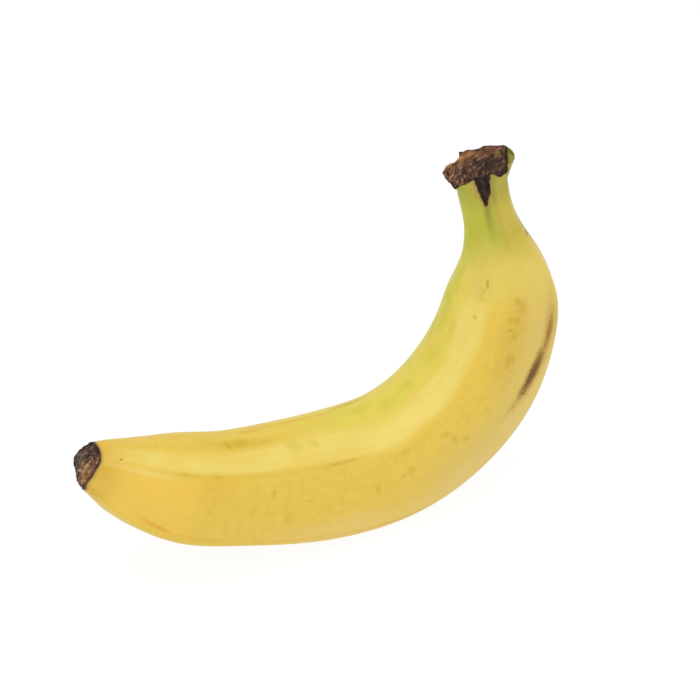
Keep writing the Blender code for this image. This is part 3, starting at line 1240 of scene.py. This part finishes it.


# Crown wood: the stalk that joined the fruit to its bunch, broken off by hand and dried. Its cork is
# dull and rough, with no sheen: dark purple-brown where the sap dried, brown at the broken side, and
# crossed by pale straw fibres that stand out of it and catch the light. Its wall and the split below
# it carry painted shade, and its rim painted shadow where it meets the peel.
@dataclass(frozen=True)
class TornWood:
    """Dried, torn plant fibre."""

    name: str = "dried_crown_wood_torn"
    dark: str = "#271c19"
    brown: str = "#5f432f"
    light: str = "#8a6448"
    fibre: str = "#c09a78"
    zones: tuple = (
        # On the crown, the dark zone also carries painted shade on the wood's wall.
        ("dark", "#322522"),
        ("slate", "#43453a"),
        ("red", "#7c4b37"),
        ("tan", "#bd8c52"),
        # On the crown, the edge zone also carries painted shadow along the rim and painted shade in the
        # split.
        ("edge", "#1d1511"),
    )
    # Real strands are about 0.2 mm wide, less than a pixel of the picture, so they are drawn coarser.
    fibre_width: float = 0.75
    fibre_length: float = 3.2
    fibre_depth: float = 0.25
    lump: float = 1.7
    roughness: float = 0.88
    sheen: float = 0.15

    def material(self) -> bpy.types.Material:
        """Make the material.

        Returns:
            A material that reads the grain and the zones stored on the mesh.
        """
        material = bpy.data.materials.new(self.name)
        material.use_nodes = True
        tree = material.node_tree
        shader = tree.nodes["Principled BSDF"]
        grain = add(tree, "Attribute", {"attribute_name": "grain"}).outputs["Vector"]
        size = (1 / self.fibre_width, 1 / self.fibre_length, 1 / self.fibre_width)
        stretched = add(tree, "Mapping", {"Scale": size}, {"Vector": grain})
        fibres = add(tree, "TexNoise", {"Scale": 1.0, "Detail": 3.0, "Roughness": 0.6}, {"Vector": stretched})
        size = {"Scale": 1 / self.lump, "Detail": 4.0, "Roughness": 0.65}
        lumps = add(tree, "TexNoise", size, {"Vector": grain})
        colour = None
        layers = (
            (self.dark, lumps, 0.54, 0.40),
            (self.light, lumps, 0.52, 0.70),
            (self.dark, fibres, 0.46, 0.32),
        )
        for tint, pattern, low, high in layers:
            spread = {"From Min": low, "From Max": high, "To Max": 0.85}
            share = add(tree, "MapRange", spread, {"Value": pattern})
            colours = {"Color1": linear(self.brown), "Color2": linear(tint)}
            links = {"Fac": share} | ({"Color1": colour} if colour else {})
            colour = add(tree, "MixRGB", colours, links).outputs[0]
        spread = {"From Min": 0.35, "From Max": 0.6, "To Min": 0.4, "To Max": 1.2}
        broken = add(tree, "MapRange", spread, {"Value": lumps})
        thin = add(tree, "MapRange", {"From Min": 0.55, "From Max": 0.66}, {"Value": fibres})
        strands = add(tree, "Math", {"operation": "MULTIPLY"}, {0: thin, 1: broken})
        for name, tint in (*self.zones, ("strands", self.fibre)):
            pattern = strands if name == "strands" else broken
            zone = add(tree, "Attribute", {"attribute_name": name}).outputs["Fac"]
            share = add(tree, "Math", {"operation": "MULTIPLY", "use_clamp": True}, {0: zone, 1: pattern})
            links = {"Fac": share, "Color1": colour}
            colour = add(tree, "MixRGB", {"Color2": linear(tint)}, links).outputs[0]
        tree.links.new(colour, shader.inputs["Base Color"])
        depth = {"Strength": 0.6, "Distance": self.fibre_depth * MM}
        bump = add(tree, "Bump", depth, {"Height": fibres})
        tree.links.new(bump.outputs[0], shader.inputs["Normal"])
        shader.inputs["Roughness"].default_value = self.roughness
        shader.inputs["Specular IOR Level"].default_value = self.sheen
        return material


@dataclass(frozen=True)
class Patch:
    """A soft round patch of one of the wood's zones, with its middle and its reach both ways."""

    zone: str
    strength: float
    at: tuple[float, float]
    size: tuple[float, float]

    def cover(self, out: np.ndarray, side: np.ndarray) -> np.ndarray:
        """Return how much of the zone each point has from this patch."""
        return self.strength * blot(out, side, self.at, self.size)


@dataclass(frozen=True)
class Crown:
    """The torn wood inside the crown and on top of it."""

    shape: FruitShape
    finish: TornWood = TornWood()
    sides: int = 240
    first_angle: float = -60.0
    wall_rings: int = 72
    top_rings: int = 60
    top_crowding: float = 0.8
    innermost_share: float = 0.02
    smallest_radius: float = 0.05
    lowest_share: float = -1.5
    turn_width: float = 0.2
    inset: float = 0.7
    inset_end: float = 0.86
    inset_fade: float = 0.1
    proud: float = 0.2
    overhang: float = 0.35
    strip_place: float = 7.5
    strip_facing: float = 31.0
    strip_border: float = 1.0
    bare_start: float = 57.0
    bare_end: float = 98.0
    bare_start_soft: float = 2.0
    bare_end_soft: float = 24.0
    bare_drop: float = 0.5
    bare_soft: float = 0.06
    least_drop: float = 0.05
    corner_angle: float = 168.0
    corner_spread: float = 17.0
    corner_drop: float = 0.28
    grain_lean: float = 48.0
    grain_turn: float = 0.8
    grain_turn_start: float = -7.0
    grain_turn_reach: float = 8.0
    # Torn fibres and lumps of the wood: depth, and size of one across, along and above the fibres.
    fibres: tuple = ((0.26, (0.8, 4.5, 1.6)), (0.13, (0.4, 2.4, 0.9)))
    lumps: tuple = (0.34, 2.2)
    lift: float = 0.2
    wall_relief: float = 0.45
    relief_start: float = -6.0
    relief_fade: float = 1.5
    # Even far rim, and wall that shows in the split: two angles, soft width.
    far_rim: tuple = (285.0, 375.0, 20.0)
    split_facing: tuple = (96.0, 138.0, 6.0)
    far_rim_smoothing: float = 0.7
    split_reach: float = 0.95
    split_reach_soft: float = 0.1
    split_lump: tuple = (1.0, 1.0, 1.5)
    split_contrast: float = 1.6
    slate_share: float = 0.4
    # Share of black, painted shade, in the lumps of the split.
    split_shade_share: float = 0.7
    # Knots of the wood: size, place outward and sideward, how far each stands up.
    knots: tuple = (
        (0.8, (-1.2, -8.3), 0.7),
        (1.3, (-6.2, -5.6), 0.35),
        (1.0, (0.6, -5.2), 0.4),
        (0.8, (6.0, 0.2), 0.35),
    )
    patches: tuple = (
        Patch("dark", 0.9, (0.5, 2.6), (4.6, 4.0)),
        Patch("red", 0.9, (5.8, -3.4), (3.0, 1.7)),
        Patch("red", 1.0, (-0.9, -6.6), (1.1, 1.4)),
        Patch("frayed", 1.0, (-2.3, -6.9), (1.0, 1.1)),
        Patch("frayed", 1.0, (0.8, -5.9), (1.1, 1.4)),
        Patch("tan", 0.5, (5.7, 0.3), (0.7, 1.4)),
        Patch("tan", 0.15, (-4.6, -5.2), (2.2, 2.0)),
        Patch("edge", 1.4, (-1.2, -8.9), (0.9, 0.9)),
        Patch("edge", 0.5, (-9.4, -5.0), (1.2, 1.0)),
        Patch("strands", 0.9, (-6.4, -3.0), (3.0, 5.4)),
        Patch("strands", 0.75, (1.6, -0.8), (2.2, 2.0)),
    )
    # Painted shade: how much darker the wood's wall is than its top.
    wall_shade: float = 0.8
    split_slate: float = 0.85
    frayed_tan: float = 0.95
    frayed_strands: float = 0.5
    strands_everywhere: float = 0.28
    strands_on_wall: float = 0.2
    # Painted shadow: a dark line on the wood where it meets the strip of green peel.
    strip_shadow: float = 0.95
    # Colours of the rim. Their places are shares of the torn top's radius.
    tan_rim: Wash = Wash("tan", 0.5, (224.0, 256.0, 12.0), (0.90, END, 0.08))
    # The dark rims are partly the broken top's dark border and partly painted shadow where the wood meets the
    # peel.
    dark_rims_and_shadow: tuple = (
        Wash("edge", 0.9, (255.0, 375.0, 20.0), (0.955, END, 0.05)),
        Wash("edge", 0.8, (98.0, 168.0, 6.0), (0.955, END, 0.05)),
    )

    def build(self) -> bpy.types.Object:
        """Make the torn wood and dress it.

        Returns:
            The wood's object.
        """
        shape = self.shape
        around = (np.arange(self.sides) / self.sides * 360 + self.first_angle)[None, :]
        edge = self.outline(around)
        share = np.linspace(self.lowest_share, 1.0, self.wall_rings)[:, None]
        inward = (np.linspace(1, self.innermost_share, self.top_rings)[1:, None]) ** self.top_crowding
        wide, height = self.wall(around, share, edge)
        radius = np.concatenate([wide, edge * inward])
        height = np.concatenate([height, shape.top(around, edge * inward)])
        angles = np.broadcast_to(around, radius.shape)
        turning_in, turning_down = (ease((s - 1) / self.turn_width + 1) for s in (share, inward))
        on_top = np.concatenate([turning_in, np.ones_like(inward)]) + 0 * around
        on_wall = np.concatenate([np.ones_like(share), turning_down]) + 0 * around
        out, side = out_and_side(angles, radius)
        grain = self.grain(out, side, height)
        rough = self.torn(grain) * (1 - self.far_rim_smoothing * arc(around, *self.far_rim) * on_wall)
        for size, at, rise in self.knots:
            rough = rough + rise * blot(out, side, at, (size, size)) * on_top
        above = ease((height - self.relief_start) / self.relief_fade)
        radius = radius + self.wall_relief * rough * on_wall * above
        height = height + (self.lift + rough) * on_top
        place = shape.frame_at(shape.length())
        points = place.place(angles, np.maximum(radius, self.smallest_radius), height)
        values = self.zones(out, side, angles, on_top, radius / edge)
        values |= self.split_colours(values, grain, angles, on_top, radius / edge)
        wood = RingMesh("banana_crown_wood", points, values | {"grain": grain}).build()
        wood.data.materials.append(self.finish.material())
        return wood

    def outline(self, around: np.ndarray) -> np.ndarray:
        """Return the edge of the torn top, cut off square where green peel is left."""
        strip = straight_edge(around, self.strip_facing, self.strip_place)
        return np.minimum(self.shape.rim(around) + self.proud, strip)

    def wall(self, around: np.ndarray, share: np.ndarray, edge: np.ndarray) -> tuple[np.ndarray, np.ndarray]:
        """Form the wood's wall, inside the peel but for where the wood is bare.

        Args:
            around: Angles round the fruit.
            share: Shares of the way up, 0 at the foot of the crown and 1 at the rim.
            edge: Radius of the torn top.

        Returns:
            Radius, and height above the foot.
        """
        bare = self.bare(around, share)
        wide, high = self.shape.wall(around, share)
        fading = 1 - ease((share - self.inset_end) / self.inset_fade)
        depth = self.inset * fading * (1 - bare) - self.overhang * bare
        return np.minimum(wide - depth, edge), high

    def grain(self, out: np.ndarray, side: np.ndarray, height: np.ndarray) -> np.ndarray:
        """Follow the wood's fibres, which turn towards the inside of the bend.

        Args:
            out: Outward place of each point.
            side: Sideward place of each point.
            height: Height of each point above the foot of the crown.

        Returns:
            Each point's place across, along and above the fibres.
        """
        turn = self.grain_turn * ease((out - self.grain_turn_start) / self.grain_turn_reach)
        a = np.radians(self.grain_lean * (1 - turn))
        across = out * np.sin(a) + side * np.cos(a)
        lengthwise = out * np.cos(a) - side * np.sin(a)
        return np.stack([across, lengthwise, height], axis=-1)

    def torn(self, grain: np.ndarray) -> np.ndarray:
        """Raise the torn fibres and lumps of the wood.

        Args:
            grain: Each point's place across, along and above the fibres.

        Returns:
            How far each point stands out.
        """
        depth, size = self.lumps
        rough = depth * noise_field(grain, size, seed=5.0)
        for seed, (depth, size) in enumerate(self.fibres, start=3):
            rough = rough + depth * noise_field(grain, size, seed)
        return rough

    def bare(self, around: np.ndarray, share: np.ndarray) -> np.ndarray:
        """Bare the wood on the wall too, to the right of the split and at the left corner.

        Args:
            around: Angles round the fruit.
            share: Shares of the way up the wall.

        Returns:
            1 where the wood shows, 0 where the peel covers it.
        """
        before = ease((self.bare_end - around) / self.bare_end_soft)
        after = ease((around - self.bare_start) / self.bare_start_soft)
        corner = self.corner_drop * hump(around, self.corner_angle, self.corner_spread)
        drop = self.bare_drop * before * after + corner
        return ease((share - (1 - drop)) / self.bare_soft) * ease(drop / self.least_drop)

    def in_split(self, around: np.ndarray, on_top: np.ndarray, reach: np.ndarray) -> np.ndarray:
        """Return 1 on the wall that shows in the split below the crown."""
        inner = ease((self.split_reach - reach) / self.split_reach_soft)
        return arc(around, *self.split_facing) * inner * (1 - on_top)

    def zones(
        self, out: np.ndarray, side: np.ndarray, around: np.ndarray, on_top: np.ndarray, reach: np.ndarray
    ) -> dict[str, np.ndarray]:
        """Lay out the colours of the wood, with painted shade on its wall and painted shadow along its rim.

        Args:
            out: Outward place of each point.
            side: Sideward place of each point.
            around: Angle of each point.
            on_top: 1 on the top, 0 on the wall.
            reach: Radius of each point as a share of the edge's.

        Returns:
            How much of each zone's colour each point has.
        """
        values = {}
        for patch in self.patches:
            values[patch.zone] = values.get(patch.zone, 0) + patch.cover(out, side)
        frayed = values.pop("frayed")
        values["tan"] += self.frayed_tan * frayed + self.tan_rim.cover(around, reach) * on_top
        # Painted shade on the wall.
        values["dark"] += self.wall_shade * (1 - on_top)
        # Dark border with painted shadow along the rim.
        for rim in self.dark_rims_and_shadow:
            values["edge"] += rim.cover(around, reach)
        # Painted shadow along the strip of green peel.
        facing = np.radians(self.strip_facing)
        to_strip = self.strip_place - out * np.cos(facing) - side * np.sin(facing)
        values["edge"] += self.strip_shadow * ease(1 - to_strip / self.strip_border)
        values["strands"] += self.frayed_strands * frayed + self.strands_everywhere
        values["strands"] *= self.strands_on_wall + (1 - self.strands_on_wall) * on_top
        return values

    def split_colours(
        self,
        values: dict[str, np.ndarray],
        grain: np.ndarray,
        around: np.ndarray,
        on_top: np.ndarray,
        reach: np.ndarray,
    ) -> dict[str, np.ndarray]:
        """Mix slate and black in uneven lumps on the wood that shows in the split. The black is painted shade
        deep in the split.

        Args:
            values: Zones so far.
            grain: Each point's place across, along and above the fibres.
            around: Angle of each point.
            on_top: 1 on the top, 0 on the wall.
            reach: Radius of each point as a share of the edge's.

        Returns:
            The zones that change.
        """
        lumps = self.split_contrast * noise_field(grain, self.split_lump, seed=8.0)
        in_split = self.in_split(around, on_top, reach)
        return {
            "slate": self.split_slate * in_split * ease(self.slate_share + lumps),
            # Painted shade: black lumps deep in the split.
            "edge": values["edge"] + in_split * ease(self.split_shade_share - lumps),
        }


@dataclass(frozen=True)
class BlossomScar:
    """The dried stub where the blossom fell off."""

    shape: FruitShape
    finish: TornWood = TornWood(
        name="dried_blossom_scar",
        dark="#30211c",
        brown="#70503c",
        light="#96705a",
        fibre="#c59c7e",
        fibre_width=0.55,
        fibre_length=4.0,
        lump=1.2,
    )
    sides: int = 160
    wall_rings: int = 44
    face_rings: int = 26
    innermost_share: float = 0.04
    root_share: float = 0.5
    root_inset: float = 0.5
    length: float = 3.35
    end_radius: float = 3.1
    end_drop: float = 1.05
    end_slope: float = 1.1
    end_ripples: tuple = ((0.07, 3, 1.0), (0.05, 5, 2.4))
    hollow: float = 0.8
    hollow_rise: float = 0.5
    hollow_rise_reach: float = 0.5
    lip: float = 0.3
    shoulder: float = 2.2
    cut_shoulder: float = 1.1
    cut_angle: float = 205.0
    cut_spread: float = 40.0
    drop_curve: float = 1.4
    # Chips out of the end's rim: angle, spread, depth.
    chips: tuple = ((218.0, 22.0, 0.8), (332.0, 34.0, 0.8))
    # Ribs and lumps of the wood: depth, and size of one to the side, outward and along.
    ribs: tuple = (0.40, (0.7, 4.0, 1.4))
    lumps: tuple = (0.22, 0.8)
    # Their places are shares of the way from the fruit's end to the stub's.
    washes: tuple = (
        Wash("dark", 0.75, (132.0, 205.0, 30.0), (START, 0.6, 0.4)),
        Wash("dark", 0.7, (0.0, 58.0, 14.0), (0.1, END, 0.2)),
        Wash("slate", 0.5, (95.0, 200.0, 30.0), (0.5, END, 0.4)),
        Wash("tan", 0.4, (70.0, 122.0, 30.0), (0.2, 0.9, 0.3)),
        Wash("tan", 0.6, (124.0, 140.0, 8.0), (START, 0.05, 0.1)),
    )
    dark_face: float = 0.55
    slate_face: float = 0.75
    red: Patch = Patch("red", 0.6, (3.0, 2.0), (3.0, 3.0))
    strands: Patch = Patch("strands", 0.65, (1.0, 2.5), (5.0, 3.5))
    strands_everywhere: float = 0.5
    # Colours of the end's rim. The places of the first two are shares of its radius.
    near_edge: Wash = Wash("edge", 1.0, (186.0, 300.0, 16.0), (0.93, END, 0.1))
    far_edge: Wash = Wash("edge", 0.6, (290.0, 350.0, 16.0), (0.95, END, 0.1))
    far_edge_end: Wash = Wash("edge", 1.0, ALL_ROUND, (0.6, END, 0.2))

    def build(self) -> bpy.types.Object:
        """Make the stub and dress it.

        Returns:
            The stub's object.
        """
        around = (np.arange(self.sides) / self.sides * 360)[None, :]
        end = self.end(around)
        down = np.linspace(-self.root_share, 1.0, self.wall_rings)[:, None]
        inward = np.linspace(1, self.innermost_share, self.face_rings)[1:, None]
        parts = zip(self.wall(around, down, end), self.face(around, inward, end))
        wide, height = (np.concatenate(pair) for pair in parts)
        angles = np.broadcast_to(around, wide.shape)
        out, side = out_and_side(angles, wide)
        grain = np.stack([side, out, height], axis=-1)
        depth, size = self.ribs
        rough = depth * noise_field(grain, size, seed=6.0)
        depth, size = self.lumps
        rough = rough + depth * noise_field(grain, size, seed=7.0)
        at_end = np.concatenate([np.clip(down, 0, 1), np.ones_like(inward)]) + 0 * around
        place = self.shape.frame_at(0.0)
        drop = self.end_drop * at_end**self.drop_curve
        points = place.place(angles, wide + rough, height) + drop[..., None] * place.outward
        on_face = np.concatenate([0 * down, np.ones_like(inward)]) + 0 * around
        values = self.zones(out, side, around, at_end, on_face, wide / end) | {"grain": grain}
        turned_out = {name: value[::-1] for name, value in values.items()}
        scar = RingMesh("banana_blossom_scar", points[::-1], turned_out).build()
        scar.data.materials.append(self.finish.material())
        return scar

    def end(self, around: np.ndarray) -> np.ndarray:
        """Shape the rim of the stub's end, chipped in places.

        Args:
            around: Angles round the fruit.

        Returns:
            The rim's radius.
        """
        a = np.radians(around)
        ripples = sum(size * np.sin(count * a + start) for size, count, start in self.end_ripples)
        end = self.end_radius * (1 + ripples)
        for angle, spread, loss in self.chips:
            end = end - loss * hump(around, angle, spread)
        return end

    def wall(self, around: np.ndarray, down: np.ndarray, end: np.ndarray) -> tuple[np.ndarray, np.ndarray]:
        """Form the stub's side, which starts inside the fruit.

        Args:
            around: Angles round the fruit.
            down: Shares of the way from the fruit's end to the stub's, negative inside the fruit.
            end: Radius of the stub's end.

        Returns:
            Radius, and place along the fruit.
        """
        shape = self.shape
        foot = np.zeros((1, 1))
        start = shape.frame_at(0.0).radius * shape.section(around, foot) - shape.tuck(around, foot)
        cut = hump(around, self.cut_angle, self.cut_spread)
        narrowing = np.clip(down, 0, 1) ** (self.shoulder - self.cut_shoulder * cut)
        outside = (start - self.lip) * (1 - narrowing) + end * narrowing
        wide = np.where(down < 0, start - self.root_inset, outside)
        slope = self.end_slope * np.cos(np.radians(around))
        return wide, shape.slant(around, wide) - down * (self.length - slope)

    def face(self, around: np.ndarray, inward: np.ndarray, end: np.ndarray) -> tuple[np.ndarray, np.ndarray]:
        """Form the stub's hollow end.

        Args:
            around: Angles round the fruit.
            inward: Radii as shares of the end's.
            end: Radius of the stub's end.

        Returns:
            Radius, and place along the fruit.
        """
        wide = inward * end
        rise = self.hollow_rise * ease(1 - inward / self.hollow_rise_reach)
        sink = self.hollow * (1 - inward**2) * (1 - rise)
        slope = self.end_slope * inward * np.cos(np.radians(around))
        return wide, self.shape.slant(around, wide) + sink - self.length + slope

    def zones(
        self,
        out: np.ndarray,
        side: np.ndarray,
        around: np.ndarray,
        at_end: np.ndarray,
        on_face: np.ndarray,
        reach: np.ndarray,
    ) -> dict[str, np.ndarray]:
        """Lay out the colours of the stub.

        Args:
            out: Outward place of each point.
            side: Sideward place of each point.
            around: Angles round the fruit.
            at_end: 0 at the fruit's end, 1 at the stub's.
            on_face: 1 on the hollow end, 0 on the side.
            reach: Radius of each point as a share of the end's.

        Returns:
            How much of each zone's colour each point has.
        """
        values = {}
        for wash in self.washes:
            values[wash.zone] = values.get(wash.zone, 0) + wash.cover(around, at_end)
        values["dark"] += self.dark_face * on_face
        values["slate"] = values["slate"] * (1 - on_face) + self.slate_face * on_face
        values["red"] = self.red.cover(out, side) * (1 - on_face)
        far_edge = self.far_edge.cover(around, reach) * self.far_edge_end.cover(around, at_end)
        values["edge"] = self.near_edge.cover(around, reach) + far_edge
        values["strands"] = self.strands_everywhere + self.strands.cover(out, side)
        return values


# Opal acrylic: a cast sheet with a matt face, lit from below. It glows evenly, so that things on it
# stand on white and have only faint shadows.
@dataclass(frozen=True)
class LitAcrylic:
    """Matt opal acrylic with light behind it."""

    colour: str = "#626262"
    glow: float = 0.90
    roughness: float = 0.9

    def material(self) -> bpy.types.Material:
        """Make the material.

        Returns:
            A material that glows evenly and has no gloss.
        """
        material = bpy.data.materials.new("opal_acrylic_matt_backlit")
        material.use_nodes = True
        shader = material.node_tree.nodes["Principled BSDF"]
        shader.inputs["Base Color"].default_value = linear(self.colour)
        shader.inputs["Roughness"].default_value = self.roughness
        shader.inputs["Specular IOR Level"].default_value = 0.0
        shader.inputs["Emission Color"].default_value = (1.0, 1.0, 1.0, 1.0)
        shader.inputs["Emission Strength"].default_value = self.glow
        return material


@dataclass(frozen=True)
class Studio:
    """Pale table, plain soft light and the camera.

    The camera's aim and distance are in millimetres, and the other sizes in metres.
    """

    finish: LitAcrylic = LitAcrylic()
    aim: tuple = (-0.4, 1.3, 53.1)
    distance: float = 503.65
    elevation: float = 32.0
    azimuth: float = -28.0
    roll: float = -1.0
    lens: float = 95.0
    clip_start: float = 0.01
    table_size: float = 6.0
    sky_strength: float = 0.82
    softbox_power: float = 3.0
    softbox_size: float = 0.9
    softbox_place: tuple = (-0.15, -0.25, 0.9)
    softbox_aim: tuple = (0.0, 0.0, 0.05)

    def build(self) -> None:
        """Set up the table, the lights and the camera."""
        self.table()
        self.lights()
        self.camera()

    def table(self) -> None:
        """Lay the table's top at the height of the fruit's flat spot."""
        half = self.table_size / 2
        corners = [(-half, -half, 0), (half, -half, 0), (half, half, 0), (-half, half, 0)]
        mesh = bpy.data.meshes.new("studio_table")
        mesh.from_pydata(corners, [], [(0, 1, 2, 3)])
        mesh.materials.append(self.finish.material())
        table = bpy.data.objects.new("studio_table", mesh)
        bpy.context.scene.collection.objects.link(table)

    def lights(self) -> None:
        """Light the room softly from all round, and a little more from above."""
        world = bpy.data.worlds.new("studio_light")
        world.use_nodes = True
        sky = world.node_tree.nodes["Background"]
        sky.inputs["Color"].default_value = (1.0, 1.0, 1.0, 1.0)
        sky.inputs["Strength"].default_value = self.sky_strength
        bpy.context.scene.world = world
        lamp = bpy.data.lights.new("overhead_softbox", "AREA")
        lamp.energy = self.softbox_power
        lamp.size = self.softbox_size
        softbox = bpy.data.objects.new("overhead_softbox", lamp)
        softbox.location = self.softbox_place
        towards = Vector(self.softbox_aim) - softbox.location
        softbox.rotation_euler = towards.to_track_quat("-Z", "Y").to_euler()
        bpy.context.scene.collection.objects.link(softbox)

    def camera(self) -> None:
        """Set up the camera and plain colours."""
        e, a, r = np.radians([self.elevation, self.azimuth, self.roll])
        back = Vector((np.sin(a) * np.cos(e), -np.cos(a) * np.cos(e), np.sin(e)))
        level = Vector((np.cos(a), np.sin(a), 0.0))
        up = back.cross(level)
        right = level * np.cos(r) + up * np.sin(r)
        up = back.cross(right)
        camera = bpy.data.objects.new("camera", bpy.data.cameras.new("camera"))
        camera.data.lens = self.lens
        camera.data.clip_start = self.clip_start
        turn = Matrix((right, up, back)).transposed().to_4x4()
        camera.matrix_world = Matrix.Translation((Vector(self.aim) + back * self.distance) * MM) @ turn
        bpy.context.scene.collection.objects.link(camera)
        bpy.context.scene.camera = camera
        bpy.context.scene.view_settings.view_transform = "Standard"


def main() -> None:
    """Build the fruit and the studio round it."""
    logging.basicConfig(level=logging.INFO, format="%(name)s: %(message)s")
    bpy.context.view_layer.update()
    shape = FruitShape()
    for piece in (Peel(shape).build(), Crown(shape).build(), BlossomScar(shape).build()):
        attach(piece, "root")
        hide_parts("banana")
        LOG.info("%s: %d faces", piece.name, len(piece.data.polygons))
    Studio().build()


if __name__ == "__main__":
    main()
